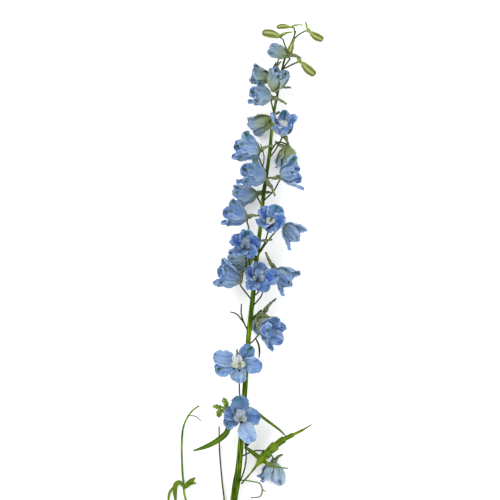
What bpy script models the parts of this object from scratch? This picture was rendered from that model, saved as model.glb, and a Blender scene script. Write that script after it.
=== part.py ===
"""A cut delphinium spike lying on its back.

The stem runs along +Y from its cut end to the buds at the tip, and the side that
faced the viewer faces +Z. The flowers stand on thin stalks that grow from the stem.
Each flower has five sepals and a spur, the open ones also a small pale bee of
petals. The lowest flowers are pressed flat where they lie on the table.
"""

import math
from collections import namedtuple

import bpy
from mathutils import Vector

MM = 0.001

# Driving dimensions, in millimetres. X is across the spike, Y along it from the cut
# end, Z up from the table.
CENTRE = Vector((-4.1, 221.2, 0.0))
SEPAL_THICKNESS = 0.7
LEAF_THICKNESS = 0.8
# How far a leaf's edges stand above its middle, as a share of its half width.
LEAF_FOLD = 0.25
SEAT_GAP = 0.3
HEART_RADIUS = 2.3
HEART_RISE = 1.3
NECK_LENGTH = 3.4
NECK_RADIUS = 0.9
BUD_NECK_LENGTH = 2.4
# Share of a bud's length and of its largest radius, from its foot to its blunt tip.
BUD_PROFILE = ((0.0, 0.42), (0.22, 0.86), (0.5, 1.0), (0.82, 0.84), (1.0, 0.42))
SMALL_BUD_PROFILE = ((0.0, 0.4), (0.35, 1.0), (0.7, 0.9), (1.0, 0.3))
STALK_RADIUS = 0.65
STALK_STRAIGHT = 1.2
SPUR_TIP_RADIUS = 0.7
# How far a spur bows sideways, as a share of its length.
SPUR_BOW = 0.07
SEPAL_ROWS = 3
SEPAL_COLUMNS = 2
CLAW_SHARE = 0.18
CLAW_RADIUS = 1.85
CLAW_DEPTH = 0.3
# Share of a sepal's further bend that its middle takes, how round its hollow is, and the
# most it curls across, in radians.
MIDDLE_SHARE = 0.6
CUP_SHARE = 0.8
CURL_LIMIT = 1.1
# The bee: its length, how far its rim leans to the upper side, and for each of its rings
# the share of the length and the radius at its lobes and notches.
BEE_LENGTH = 6.5
BEE_LEAN = 1.4
BEE_RINGS = ((0.0, 0.9, 0.9), (0.45, 1.9, 1.6), (1.0, 3.7, 2.3))
# Steps in which a sepal's bend is followed between two of its rows.
BEND_STEPS = 6
# Thin sepals cross at low angles, where the exact solver leaves loose scraps.
SHEET_SOLVER = "MANIFOLD"

# Stem: centre line x, y, z and radius.
STEM = (
    (-19.2, 0.0, 2.8, 2.8), (-16.8, 28.0, 4.5, 2.8), (-12.8, 60.0, 8.0, 2.9),
    (-11.2, 71.0, 9.4, 3.1), (-9.3, 84.0, 11.2, 2.6), (-7.6, 101.6, 13.2, 2.4),
    (-5.6, 128.0, 16.0, 2.2), (-4.0, 149.6, 18.5, 2.1), (-1.4, 188.0, 21.5, 2.0),
    (2.0, 220.0, 22.5, 1.9), (5.2, 252.0, 23.0, 1.8), (8.2, 277.6, 23.0, 1.6),
    (10.8, 303.2, 23.0, 1.5), (13.6, 322.4, 22.5, 1.4), (16.0, 340.0, 22.0, 1.4),
    (17.2, 353.6, 21.5, 1.3), (19.2, 370.4, 21.0, 1.2), (22.0, 384.8, 20.5, 1.0),
    (26.6, 408.8, 20.5, 0.85), (31.2, 421.6, 21.0, 0.75), (34.4, 428.6, 21.5, 0.7),
    (36.6, 435.4, 22.5, 0.6),
)

# One flower: base is where its sepals meet, facing the direction it looks in (degrees
# round from +X in the plane of the table, then degrees up from it), size the length and
# width of its sepals, bend their angle from the flower's axis at claw, middle and tip,
# spur the end of the spur, stalk the route of its stalk from the stem.
Flower = namedtuple("Flower", "name base facing size bend spur stalk sepals open")

# One sepal: degrees round from the flower's upper side, its length and width as shares of
# the flower's size, degrees it bends out further, and its turn about its own length.
Sepal = namedtuple("Sepal", "turn long wide more twist", defaults=(17.0,))

EVEN = ((0, 0.95, 1.0, -4), (72, 1.0, 1.0, 0), (144, 1.02, 0.95, 3), (216, 1.0, 0.95, 3),
        (288, 0.98, 1.0, 0))
NODDING = ((0, 1.0, 1.0, 0), (74, 0.95, 1.0, -3), (142, 1.0, 0.95, 5), (218, 0.95, 0.95, 0),
           (288, 1.0, 1.0, 2))
HOODED = ((0, 0.85, 1.1, 26, -48.0), (74, 0.95, 1.0, -3), (142, 1.0, 0.95, 3), (218, 0.95, 0.95, 0),
          (288, 1.0, 1.0, 2))
REACHING = ((0, 0.95, 1.0, -4, -8.0), (72, 1.0, 1.0, 0), (176, 1.02, 0.7, 12, 0.0), (236, 0.95, 0.95, 0),
            (296, 1.0, 0.95, 0))
CUPPED = ((180, 0.95, 0.8, -6), (108, 1.0, 1.0, 0), (36, 0.8, 1.0, 4), (324, 0.8, 1.0, 4),
          (252, 1.0, 1.0, 0))

CLOSED = (50, 2, 4)
SLIM = (56, 8, 18)
BELL = (62, 10, 28)
CUP = (62, 18, 34)
FACE = (62, 42, 50)
FLAT = (66, 72, 84)

FLOWERS = (
    Flower("bloom_01", (28.8, 416.4, 25.0), (157, 5), (15.5, 9.8), CLOSED, (40.8, 413.4, 28.0),
           ((25.8, 404.4, 21.5), (28.4, 408.2, 23.0), (31.6, 413.0, 24.4)), EVEN, False),
    Flower("bloom_02", (15.6, 397.6, 21.0), (164, 2), (17.0, 11.6), SLIM, (25.0, 411.0, 22.6),
           ((22.6, 388.0, 21.0), (19.6, 391.6, 21.0), (17.2, 394.0, 21.6)), NODDING, False),
    Flower("bloom_03", (18.6, 388.0, 34.0), (68, 20), (18.5, 11.8), SLIM, (31.6, 386.0, 29.0),
           ((22.0, 385.0, 21.0), (22.8, 386.6, 27.0), (20.6, 386.0, 31.4)), EVEN, False),
    Flower("bloom_04", (16.2, 382.2, 29.4), (171, 20), (18.5, 12.0), SLIM, (29.0, 376.6, 28.4),
           ((19.4, 370.4, 21.5), (18.6, 371.8, 23.4), (17.6, 376.0, 27.0)), HOODED, False),
    Flower("bloom_05", (26.4, 352.8, 28.0), (88, 35), (19.5, 13.4), CUP, (31.0, 343.0, 21.5),
           ((16.0, 334.4, 22.0), (20.0, 339.6, 23.0), (24.6, 347.0, 24.5)), CUPPED, True),
    Flower("bloom_06", (16.0, 365.6, 11.6), (208, -18), (19.0, 13.0), SLIM, (24.0, 371.0, 14.0),
           ((18.4, 358.0, 20.6), (17.6, 359.8, 18.0), (15.8, 362.0, 15.8)), NODDING, False),
    Flower("bloom_07", (6.6, 338.8, 26.0), (170, 10), (22.0, 14.0), BELL, (18.4, 343.4, 30.5),
           ((13.6, 321.6, 23.0), (10.0, 327.0, 25.5), (7.0, 333.0, 27.4)), HOODED, False),
    Flower("bloom_08", (30.8, 342.2, 11.4), (262, -14), (19.0, 13.0), SLIM, (20.0, 347.4, 14.0),
           ((15.8, 338.0, 20.8), (22.0, 346.2, 19.0), (28.8, 346.6, 16.6)), EVEN, False),
    Flower("bloom_09", (25.2, 318.6, 30.0), (16, 22), (21.0, 13.4), CUP, (14.0, 318.0, 28.4),
           ((11.6, 300.0, 23.4), (19.2, 307.6, 26.0), (23.0, 314.6, 29.0)), REACHING, True),
    Flower("bloom_10", (11.4, 316.8, 32.0), (160, 16), (22.5, 14.4), BELL, (20.0, 303.0, 29.4),
           ((10.2, 299.0, 23.6), (9.6, 305.0, 26.5), (11.0, 311.4, 29.6)), HOODED, False),
    Flower("bloom_11", (5.0, 305.2, 15.0), (187, -8), (20.5, 13.4), (52, 10, 34), (17.4, 306.0, 16.5),
           ((9.6, 293.0, 21.8), (8.4, 297.6, 20.0), (6.4, 301.2, 18.2)), EVEN, False),
    Flower("bloom_12", (-3.4, 286.2, 28.0), (172, 15), (20.5, 12.6), (60, 8, 24), (7.4, 287.4, 27.4),
           ((2.6, 234.0, 23.8), (-0.8, 252.0, 25.5), (-0.8, 275.0, 26.6), (-2.2, 281.6, 27.2)),
           HOODED, False),
    Flower("bloom_13", (16.6, 282.0, 37.0), (95, 66), (13.8, 13.4), FACE, (20.0, 293.0, 30.0),
           ((6.4, 258.0, 24.0), (11.8, 266.0, 28.0), (15.0, 277.8, 33.6)),
           ((-27, 1.06, 1.1, -4), (45, 0.96, 1.05, -2), (117, 0.98, 0.95, 0), (189, 0.92, 0.9, 3),
            (261, 1.02, 1.05, 0)), True),
    Flower("bloom_14", (28.0, 279.2, 23.0), (-42, 4), (19.0, 13.0), BELL, (20.6, 288.4, 22.0),
           ((5.4, 254.0, 23.4), (14.0, 267.0, 23.6), (23.6, 277.8, 23.0)), REACHING, False),
    Flower("bloom_15", (-3.2, 262.2, 38.0), (95, 70), (14.0, 13.8), FACE, (17.6, 268.4, 33.0),
           ((2.8, 229.0, 24.0), (-2.6, 243.0, 27.6), (-3.4, 256.0, 33.6)), EVEN, True),
    Flower("bloom_16", (1.2, 254.4, 11.5), (196, -14), (19.5, 13.5), BELL, (9.6, 260.4, 12.6),
           ((5.0, 247.0, 21.6), (4.8, 249.4, 18.0), (3.4, 252.0, 14.8)), NODDING, False),
    Flower("bloom_17", (-7.8, 236.0, 28.0), (160, 8), (22.0, 14.8), (52, 14, 34), (-3.4, 246.6, 24.0),
           ((1.4, 220.0, 23.0), (-4.0, 226.8, 25.2), (-7.4, 231.0, 27.2)), NODDING, False),
    Flower("bloom_18", (6.2, 236.6, 37.0), (60, 72), (14.4, 14.0), (62, 50, 60), (9.6, 246.0, 31.0),
           ((3.0, 216.0, 24.0), (9.6, 224.4, 28.0), (11.2, 230.4, 33.0)),
           ((0, 0.9, 1.0, -4), (66, 0.92, 1.0, -4), (140, 0.98, 0.9, 0), (208, 0.98, 0.9, 0),
            (274, 1.14, 1.0, 6)), True),
    Flower("bloom_19", (21.6, 243.4, 25.0), (-40, 6), (20.0, 13.4), BELL, (12.6, 258.4, 26.0),
           ((4.2, 224.0, 23.0), (12.0, 231.0, 23.6), (18.0, 238.6, 24.4)), REACHING, False),
    Flower("bloom_20", (10.6, 208.4, 11.0), (256, -10), (18.5, 12.5), BELL, (21.0, 221.0, 16.0),
           ((-0.6, 200.0, 20.0), (4.0, 206.6, 17.0), (8.6, 211.4, 14.0)), EVEN, False),
    Flower("bloom_21", (9.6, 195.0, 33.0), (-4, 35), (19.0, 13.6), (62, 24, 40), (4.4, 205.6, 30.0),
           ((-1.4, 184.0, 22.8), (2.6, 187.4, 27.0), (6.4, 192.0, 31.2)),
           ((6, 1.04, 1.0, -4, -8.0), (76, 0.9, 1.1, -10), (166, 1.0, 0.7, 12, 0.0), (236, 0.95, 1.0, 0),
            (296, 1.0, 1.0, 0)), True),
    Flower("bloom_22", (-8.0, 169.6, 31.0), (200, 78), (18.5, 15.0), FLAT, (-10.4, 180.6, 26.6),
           ((-5.6, 130.0, 17.4), (-8.4, 146.0, 21.0), (-8.4, 160.0, 26.4)),
           ((-35, 0.9, 0.88, 0), (73, 1.14, 0.9, 4), (106, 1.02, 0.9, 6), (182, 0.82, 1.0, 0),
            (268, 0.98, 1.0, 0)), True),
    Flower("bloom_23", (-7.6, 124.8, 28.0), (90, 80), (17.5, 15.0), FLAT, (-9.6, 135.8, 22.0),
           ((-9.4, 71.0, 11.0), (-4.4, 84.0, 15.0), (-3.2, 99.0, 18.4), (-6.2, 116.0, 24.0)),
           ((6, 1.0, 1.1, -6), (62, 0.74, 0.95, -4), (112, 0.74, 0.85, -6), (207, 1.18, 1.02, 6),
            (280, 0.9, 1.0, 0)), True),
    Flower("bloom_24", (18.4, 88.6, 11.0), (268, -6), (19.0, 15.0), (66, 24, 34), (26.4, 95.6, 9.6),
           ((-8.6, 93.0, 11.4), (4.0, 98.4, 10.6), (14.0, 97.4, 11.4), (18.2, 94.6, 12.2)),
           EVEN, False),
)

# Closed buds: base, tip, largest radius, end of the spur, route of the stalk.
Bud = namedtuple("Bud", "name base tip radius spur stalk")

BUDS = (
    Bud("bud_1", (24.0, 430.8, 24.0), (10.0, 434.0, 25.0), 3.3, (34.0, 434.4, 25.6),
        ((30.2, 419.6, 21.0), (28.0, 424.0, 22.0), (26.4, 428.4, 23.2))),
    Bud("bud_2", (32.0, 438.4, 24.4), (21.4, 438.4, 25.0), 2.1, (41.6, 440.0, 25.6),
        ((36.0, 433.0, 22.2), (35.4, 436.4, 23.4), (34.4, 437.8, 24.0))),
    Bud("bud_3", (48.0, 434.4, 23.0), (58.4, 428.4, 22.0), 3.0, (44.4, 442.4, 24.6),
        ((34.0, 427.4, 21.4), (38.4, 432.0, 22.4), (45.2, 435.2, 23.0))),
    Bud("bud_4", (41.6, 410.0, 22.0), (52.0, 400.4, 21.0), 3.3, (37.0, 416.4, 22.4),
        ((26.0, 404.6, 20.6), (31.6, 407.6, 20.0), (38.4, 410.6, 20.6))),
    Bud("bud_5", (34.4, 425.2, 26.6), (32.2, 418.4, 28.0), 1.9, (35.6, 429.0, 27.2),
        ((32.6, 424.6, 21.2), (34.6, 426.6, 23.4), (35.0, 426.6, 25.0))),
)

# Narrow leaves and strips: route x, y, z with the half width there, and the turn of the
# blade about its own length, in degrees, at its two ends.
Blade = namedtuple("Blade", "name route turn")

LEAVES = (
    Blade("leaf_1", ((-8.6, 126.2, 16.0, 0.7), (-12.0, 125.4, 16.0, 0.9), (-16.4, 120.6, 16.4, 1.9),
                     (-19.6, 112.8, 16.0, 2.5), (-27.6, 106.2, 14.6, 2.3), (-36.4, 101.6, 12.4, 1.7),
                     (-46.0, 98.2, 9.6, 0.5)), (40, 10)),
    Blade("leaf_2", ((-2.2, 133.4, 17.0, 0.7), (2.4, 132.4, 17.4, 0.8), (10.4, 125.6, 18.0, 1.2),
                     (20.0, 118.4, 16.8, 1.0), (24.0, 115.2, 15.8, 0.9), (28.8, 110.4, 14.2, 0.4)),
          (20, 30)),
    Blade("leaf_3", ((-7.0, 71.6, 9.0, 0.7), (0.0, 80.0, 13.0, 0.6), (5.2, 87.0, 18.0, 1.2),
                     (10.0, 93.4, 21.0, 3.0), (17.0, 100.4, 22.2, 3.4), (25.0, 107.0, 22.0, 2.6),
                     (33.0, 111.2, 20.0, 1.6), (42.0, 115.4, 16.4, 0.9), (49.6, 119.6, 12.0, 0.4)),
          (10, -10)),
    Blade("leaf_4", ((-4.6, 101.4, 13.4, 0.7), (-1.6, 100.0, 14.0, 1.2), (5.4, 94.8, 15.8, 1.8),
                     (11.0, 90.6, 18.0, 1.6), (16.4, 87.4, 19.6, 0.8), (23.0, 85.8, 19.6, 0.5),
                     (30.4, 84.8, 17.6, 0.4)), (10, 0)),
)


# Side shoots: rods are routes of x, y, z and radius, blades are leaf routes, buds are
# base, tip and radius.
Shoot = namedtuple("Shoot", "name rods blades buds")

SHOOTS = (
    Shoot("side_shoot", (
        ((-22.7, 9.0, 2.4, 1.0), (-27.0, 20.0, 1.6, 0.9), (-36.0, 32.0, 1.0, 0.9),
         (-46.0, 45.0, 0.9, 0.8), (-52.4, 60.0, 1.0, 0.8), (-54.2, 76.0, 1.2, 0.8),
         (-55.2, 96.0, 1.6, 0.8), (-54.4, 114.0, 2.4, 0.8), (-50.8, 124.4, 3.4, 0.7),
         (-46.0, 130.8, 4.6, 0.7), (-40.8, 134.4, 5.4, 0.6)),
        ((-49.6, 126.6, 3.8, 0.4), (-43.6, 125.6, 4.0, 0.4), (-39.4, 121.8, 3.6, 0.35))),
        (Blade("lobe_1", ((-53.8, 67.0, 1.4, 0.6), (-50.4, 70.6, 2.4, 2.3), (-46.4, 74.0, 3.0, 2.4),
                          (-43.4, 74.8, 3.0, 0.6)), (0, 10)),
         Blade("lobe_2", ((-54.0, 69.0, 1.4, 0.6), (-57.2, 72.6, 2.2, 1.6), (-60.6, 68.4, 2.0, 1.9),
                          (-60.0, 56.0, 1.2, 0.7)), (0, 0)),
         Blade("lobe_3", ((-61.4, 69.0, 1.9, 0.5), (-65.2, 63.6, 1.4, 0.9), (-66.2, 53.0, 0.8, 0.5)),
              (0, 0))),
        ()),
    Shoot("thin_shoot", (
        ((-20.2, 33.0, 4.2, 0.6), (-20.6, 48.0, 3.6, 0.65), (-21.0, 60.0, 3.0, 0.65),
         (-22.6, 74.0, 2.8, 0.65), (-24.6, 98.0, 2.8, 0.6), (-25.0, 117.6, 3.4, 0.5)),), (), ()),
    Shoot("bud_cluster", (
        ((-8.4, 132.4, 16.6, 0.7), (-13.0, 133.4, 17.4, 0.6), (-18.4, 134.2, 17.6, 0.7),
         (-24.6, 133.6, 17.6, 0.5)),),
        (), (((-18.2, 134.4, 17.6), (-21.4, 141.4, 18.0), 2.3),
             ((-18.6, 133.8, 17.6), (-21.6, 129.2, 18.4), 2.8),
             ((-22.6, 133.8, 17.8), (-30.0, 134.6, 18.6), 1.8),
             ((-24.0, 133.0, 17.6), (-25.4, 125.6, 18.0), 2.4))),
    Shoot("twig", (
        ((-7.4, 74.6, 9.4, 0.55), (-4.0, 74.4, 8.0, 0.5), (3.0, 73.0, 4.4, 0.5),
         (8.0, 71.4, 2.0, 0.5), (9.8, 66.0, 0.9, 0.5), (8.0, 60.8, 0.7, 0.45), (0.4, 59.8, 0.7, 0.4)),
        ((9.6, 66.6, 0.9, 0.4), (12.8, 64.8, 0.8, 0.35)),), (), ()),
)

# Bracts and strips on the stalks, fused with the stem: routes of x, y, z and radius.
BRACTS = (
    ((-0.8, 194.0, 22.0, 0.5), (-4.8, 201.6, 22.4, 0.5), (-7.0, 209.0, 22.6, 0.45),
     (-6.8, 216.8, 22.8, 0.4)),
    ((-4.4, 201.0, 22.4, 0.5), (-10.4, 208.4, 22.4, 0.45), (-16.0, 210.4, 22.0, 0.4)),
    ((4.2, 190.0, 28.4, 0.5), (6.6, 185.0, 27.0, 0.8), (7.6, 179.6, 26.0, 0.8), (7.2, 173.6, 25.4, 0.5)),
    ((0.6, 204.0, 22.4, 0.4), (10.0, 206.2, 24.0, 0.4), (20.0, 206.4, 24.0, 0.35)),
    ((10.4, 327.0, 24.8, 0.4), (11.2, 335.2, 24.0, 0.4), (8.6, 345.0, 20.6, 0.35)),
)


def unit(vector):
    return vector.normalized()


def lerp(a, b, t):
    return a + (b - a) * t


def ease(t):
    t = min(max(t, 0.0), 1.0)
    return t * t * (3.0 - 2.0 * t)


def placed(point):
    """A point of the tables above in metres from the middle of the part's base."""
    return (Vector(point) - CENTRE) * MM


def make_material(name, colour, roughness):
    material = bpy.data.materials.new(name)
    material.use_nodes = True
    shader = material.node_tree.nodes["Principled BSDF"]
    shader.inputs["Base Color"].default_value = (*colour, 1.0)
    shader.inputs["Roughness"].default_value = roughness
    shader.inputs["Metallic"].default_value = 0.0
    return material


def make_object(name, points, faces, smooth=True):
    """An object whose mesh has the given corners, in millimetres of the tables above."""
    mesh = bpy.data.meshes.new(name)
    mesh.from_pydata([placed(point) for point in points], [], faces)
    mesh.update()
    if smooth:
        mesh.shade_smooth()
        mesh.set_sharp_from_angle(angle=math.radians(50))
    obj = bpy.data.objects.new(name, mesh)
    bpy.context.scene.collection.objects.link(obj)
    return obj


def frames_along(points):
    """A direction and two sideways axes at each point, turning as little as possible."""
    frames = []
    side = None
    for index, point in enumerate(points):
        ahead = points[min(index + 1, len(points) - 1)]
        behind = points[max(index - 1, 0)]
        along = unit(ahead - behind)
        if side is None:
            aside = Vector((0, 0, 1)) if abs(along.z) < 0.9 else Vector((1, 0, 0))
            side = unit(along.cross(aside))
        side = unit(side - along * side.dot(along))
        frames.append((along, side, along.cross(side)))
    return frames


def tube(route, sides):
    """Corners and faces of a closed round rod along a route of x, y, z and radius."""
    points = [Vector(stop[:3]) for stop in route]
    corners = []
    for (along, side, over), point, stop in zip(frames_along(points), points, route):
        for k in range(sides):
            angle = 2 * math.pi * (k + 0.5) / sides
            corners.append(point + (side * math.cos(angle) + over * math.sin(angle)) * stop[3])
    faces = [tuple(range(sides))[::-1]]
    for ring in range(len(route) - 1):
        for k in range(sides):
            a = ring * sides + k
            b = ring * sides + (k + 1) % sides
            faces.append((a, b, b + sides, a + sides))
    last = (len(route) - 1) * sides
    faces.append(tuple(range(last, last + sides)))
    return corners, faces


def sheet(grid, thickness):
    """Corners and faces of a closed thin blade around a grid of points, row by row."""
    rows = len(grid)
    columns = len(grid[0])
    half = thickness / 2
    for row in grid:
        for point in row:
            point.z = max(point.z, half)
    upper = []
    lower = []
    for i in range(rows):
        for j in range(columns):
            down = grid[min(i + 1, rows - 1)][j] - grid[max(i - 1, 0)][j]
            across = grid[i][min(j + 1, columns - 1)] - grid[i][max(j - 1, 0)]
            normal = unit(down.cross(across))
            for layer, sign in ((upper, 1), (lower, -1)):
                point = grid[i][j] + normal * (half * sign)
                point.z = max(point.z, 0.0)
                layer.append(point)
    corners = upper + lower
    offset = rows * columns
    faces = []
    for i in range(rows - 1):
        for j in range(columns - 1):
            a = i * columns + j
            b = a + 1
            c = b + columns
            d = a + columns
            for triangle in ((a, d, c), (a, c, b)):
                faces.append(triangle)
                faces.append(tuple(k + offset for k in reversed(triangle)))
    edge = [j for j in range(columns)]
    edge += [i * columns + columns - 1 for i in range(1, rows)]
    edge += [(rows - 1) * columns + j for j in range(columns - 2, -1, -1)]
    edge += [i * columns for i in range(rows - 2, 0, -1)]
    for a, b in zip(edge, edge[1:] + edge[:1]):
        faces.append((a, b, b + offset, a + offset))
    return corners, faces


def fuse(name, shapes, material, solver="EXACT"):
    """One closed object from shapes that cross each other."""
    pieces = []
    for corners, faces in shapes:
        pieces.append(make_object(name + "_piece", corners, faces))
    body = pieces[0]
    body.name = name
    if len(pieces) > 1:
        others = bpy.data.collections.new(name + "_pieces")
        for piece in pieces[1:]:
            others.objects.link(piece)
        union = body.modifiers.new("Union", "BOOLEAN")
        union.operation = "UNION"
        union.operand_type = "COLLECTION"
        union.collection = others
        union.solver = solver
        bpy.context.view_layer.update()
        graph = bpy.context.evaluated_depsgraph_get()
        mesh = bpy.data.meshes.new_from_object(body.evaluated_get(graph))
        body.modifiers.clear()
        body.data = mesh
        for piece in pieces[1:]:
            bpy.data.objects.remove(piece)
        bpy.data.collections.remove(others)
    body.data.name = name
    body.data.materials.clear()
    body.data.materials.append(material)
    body.data.shade_smooth()
    body.data.set_sharp_from_angle(angle=math.radians(50))
    return body


def facing_axes(flower):
    """The flower's axis, its upper side and its left side as unit vectors."""
    turn = math.radians(flower.facing[0])
    lift = math.radians(flower.facing[1])
    flat = math.cos(lift)
    axis = Vector((math.cos(turn) * flat, math.sin(turn) * flat, math.sin(lift)))
    up = Vector((0, 1, 0)) if abs(axis.y) < 0.8 else Vector((0, 0, 1))
    upper = unit(up - axis * up.dot(axis))
    return axis, upper, axis.cross(upper)


def sepal_width(t):
    """Width of a sepal at t along it, as a share of its widest."""
    if t < 0.6:
        return lerp(CLAW_SHARE, 1.0, math.sin(math.pi / 2 * t / 0.6) ** 1.2)
    return math.sqrt(1.0 - 0.84 * ((t - 0.6) / 0.4) ** 2)


def sepal_bend(t, bend):
    """Angle of a sepal from the flower's axis at t along it, in radians."""
    claw, middle, tip = bend
    if t < 0.4:
        return math.radians(lerp(claw, middle, ease(t / 0.4)))
    return math.radians(lerp(middle, tip, ease((t - 0.4) / 0.6)))


def sepal_grid(base, axes, size, bend, turn, rows, columns, twist):
    """Middle surface of one sepal, from its claw to its tip."""
    axis, upper, left = axes
    length, width = size
    around = math.radians(turn)
    out = upper * math.cos(around) + left * math.sin(around)
    along = left * math.cos(around) - upper * math.sin(around)
    tilt = math.radians(twist)
    radius = CLAW_RADIUS
    height = -CLAW_DEPTH
    grid = []
    for row in range(rows + 1):
        t = row / rows
        angle = sepal_bend(t, bend)
        if row:
            for step in range(BEND_STEPS):
                lean = sepal_bend((row - 1 + (step + 0.5) / BEND_STEPS) / rows, bend)
                radius += math.sin(lean) * length / rows / BEND_STEPS
                height += math.cos(lean) * length / rows / BEND_STEPS
        middle = base + out * radius + axis * height
        inward = axis * math.sin(angle) - out * math.cos(angle)
        side = along * math.cos(tilt) + inward * math.sin(tilt)
        lift = inward * math.cos(tilt) - along * math.sin(tilt)
        half = width / 2 * sepal_width(t)
        curl = min(CUP_SHARE * half / max(radius, width / 3), CURL_LIMIT)
        line = []
        for column in range(columns + 1):
            s = 2 * column / columns - 1
            across = half * math.sin(curl * s) / curl
            rise = half * (1 - math.cos(curl * s)) / curl
            line.append(middle + side * across + lift * rise)
        grid.append(line)
    return grid


def stalk_end(base, stalk):
    """The direction in which a flower's neck leaves its base, towards its stalk."""
    return unit(Vector(stalk[-1]) - Vector(base))


def spur_shape(base, start_radius, end, sides=5):
    """A tapered spur that leaves the base and bends a little."""
    end = Vector(end)
    run = end - base
    bow = Vector((0, 0, 1)).cross(unit(run)) * run.length * SPUR_BOW
    waist = lerp(start_radius, SPUR_TIP_RADIUS, 0.6)
    stops = ((base, start_radius * 0.5), (base + run * 0.2 + bow * 0.5, start_radius),
             (base + run * 0.55 + bow, waist), (end, SPUR_TIP_RADIUS))
    return tube([(*point, radius) for point, radius in stops], sides)


def bloom(flower, material):
    base = Vector(flower.base)
    axes = facing_axes(flower)
    shapes = []
    back = stalk_end(flower.base, flower.stalk)
    heart = [base + axes[0] * HEART_RISE, base, base + back * (NECK_LENGTH / 2), base + back * NECK_LENGTH]
    radii = (HEART_RADIUS * 0.7, HEART_RADIUS, HEART_RADIUS * 0.75, NECK_RADIUS)
    shapes.append(tube([(*point, radius) for point, radius in zip(heart, radii)], 6))
    rows = SEPAL_ROWS + 1 if flower.open else SEPAL_ROWS
    for values in flower.sepals:
        sepal = Sepal(*values)
        claw, middle, tip = flower.bend
        bend = (claw, middle + sepal.more * MIDDLE_SHARE, tip + sepal.more)
        size = (flower.size[0] * sepal.long, flower.size[1] * sepal.wide)
        grid = sepal_grid(base, axes, size, bend, sepal.turn, rows, SEPAL_COLUMNS, sepal.twist)
        shapes.append(sheet(grid, SEPAL_THICKNESS))
    shapes.append(spur_shape(base, HEART_RADIUS * 0.8, flower.spur))
    return fuse(flower.name, shapes, material, SHEET_SOLVER)


def bee(flower, material):
    """The small inner petals of an open flower: four lobes round a throat, on a short foot."""
    base = Vector(flower.base)
    axis, upper, left = facing_axes(flower)
    foot = base + axis * (HEART_RISE + SEAT_GAP)
    corners = []
    for height, lobe, notch in BEE_RINGS:
        for k in range(8):
            angle = 2 * math.pi * (k + 0.5) / 8
            is_lobe = k % 2 == 0
            out = lobe if is_lobe else notch
            rise = BEE_LENGTH * (height if is_lobe else height * 0.85)
            lean = upper * (height * height * BEE_LEAN)
            spread = (upper * math.cos(angle) + left * math.sin(angle)) * out
            corners.append(foot + axis * rise + lean + spread)
    corners.append(foot + axis * (BEE_LENGTH * 0.6) + upper * (BEE_LEAN * 0.4))
    faces = [tuple(range(8))[::-1]]
    for ring in (0, 8):
        for k in range(8):
            after = (k + 1) % 8
            faces.append((ring + k, ring + after, ring + after + 8))
            faces.append((ring + k, ring + after + 8, ring + k + 8))
    for k in range(8):
        faces.append((16 + k, 16 + (k + 1) % 8, 24))
    return fuse(flower.name.replace("bloom", "bee"), [(corners, faces)], material)


def bud(shape, material):
    """A closed bud with five low folds, a spur and a neck."""
    base = Vector(shape.base)
    tip = Vector(shape.tip)
    run = tip - base
    route = [(*(base + run * t), shape.radius * share) for t, share in BUD_PROFILE]
    back = stalk_end(shape.base, shape.stalk)
    foot = shape.radius * BUD_PROFILE[0][1]
    neck = [(*(base + unit(run) * 0.6), foot), (*(base + back), NECK_RADIUS),
            (*(base + back * BUD_NECK_LENGTH), STALK_RADIUS)]
    spur = spur_shape(base + unit(run) * 0.5, foot, shape.spur)
    return fuse(shape.name, [tube(route, 10), tube(neck, 6), spur], material)


def stalk_route(base, stalk, neck):
    """Route of a stalk from inside the stem to just short of the flower's neck."""
    back = stalk_end(base, stalk)
    end = Vector(base) + back * (neck + SEAT_GAP)
    controls = [Vector(point) for point in stalk[:-1]]
    controls += [end + back * STALK_STRAIGHT, end]
    return [(*point, STALK_RADIUS) for point in controls]


def stem(material):
    """The stem with the stalks, which all grew from it."""
    shapes = [tube(STEM, 10)]
    for flower in FLOWERS:
        shapes.append(tube(stalk_route(flower.base, flower.stalk, NECK_LENGTH), 5))
    for shape in BUDS:
        shapes.append(tube(stalk_route(shape.base, shape.stalk, BUD_NECK_LENGTH), 5))
    for route in BRACTS:
        shapes.append(tube(route, 4))
    return fuse("stem", shapes, material)


def blade_shape(route, turns):
    """A narrow leaf, folded a little along its middle and turned about its length."""
    points = [Vector(stop[:3]) for stop in route]
    grid = []
    count = len(points)
    for index, (point, stop) in enumerate(zip(points, route)):
        along = unit(points[min(index + 1, count - 1)] - points[max(index - 1, 0)])
        flat = unit(along.cross(Vector((0, 0, 1))))
        over = flat.cross(along)
        turn = math.radians(lerp(*turns, index / (count - 1)))
        side = flat * math.cos(turn) + over * math.sin(turn)
        fold = (over * math.cos(turn) - flat * math.sin(turn)) * (stop[3] * LEAF_FOLD)
        grid.append([point - side * stop[3] + fold, point.copy(), point + side * stop[3] + fold])
    return sheet(grid, LEAF_THICKNESS)


def leaf(shape, material):
    return fuse(shape.name, [blade_shape(shape.route, shape.turn)], material)


def shoot(shape, material):
    """A side shoot with its small leaves and buds."""
    shapes = [tube(route, 6) for route in shape.rods]
    shapes += [blade_shape(part.route, part.turn) for part in shape.blades]
    for base, tip, radius in shape.buds:
        run = Vector(tip) - Vector(base)
        stops = [(*(Vector(base) + run * t), radius * share) for t, share in SMALL_BUD_PROFILE]
        shapes.append(tube(stops, 7))
    return fuse(shape.name, shapes, material)


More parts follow.
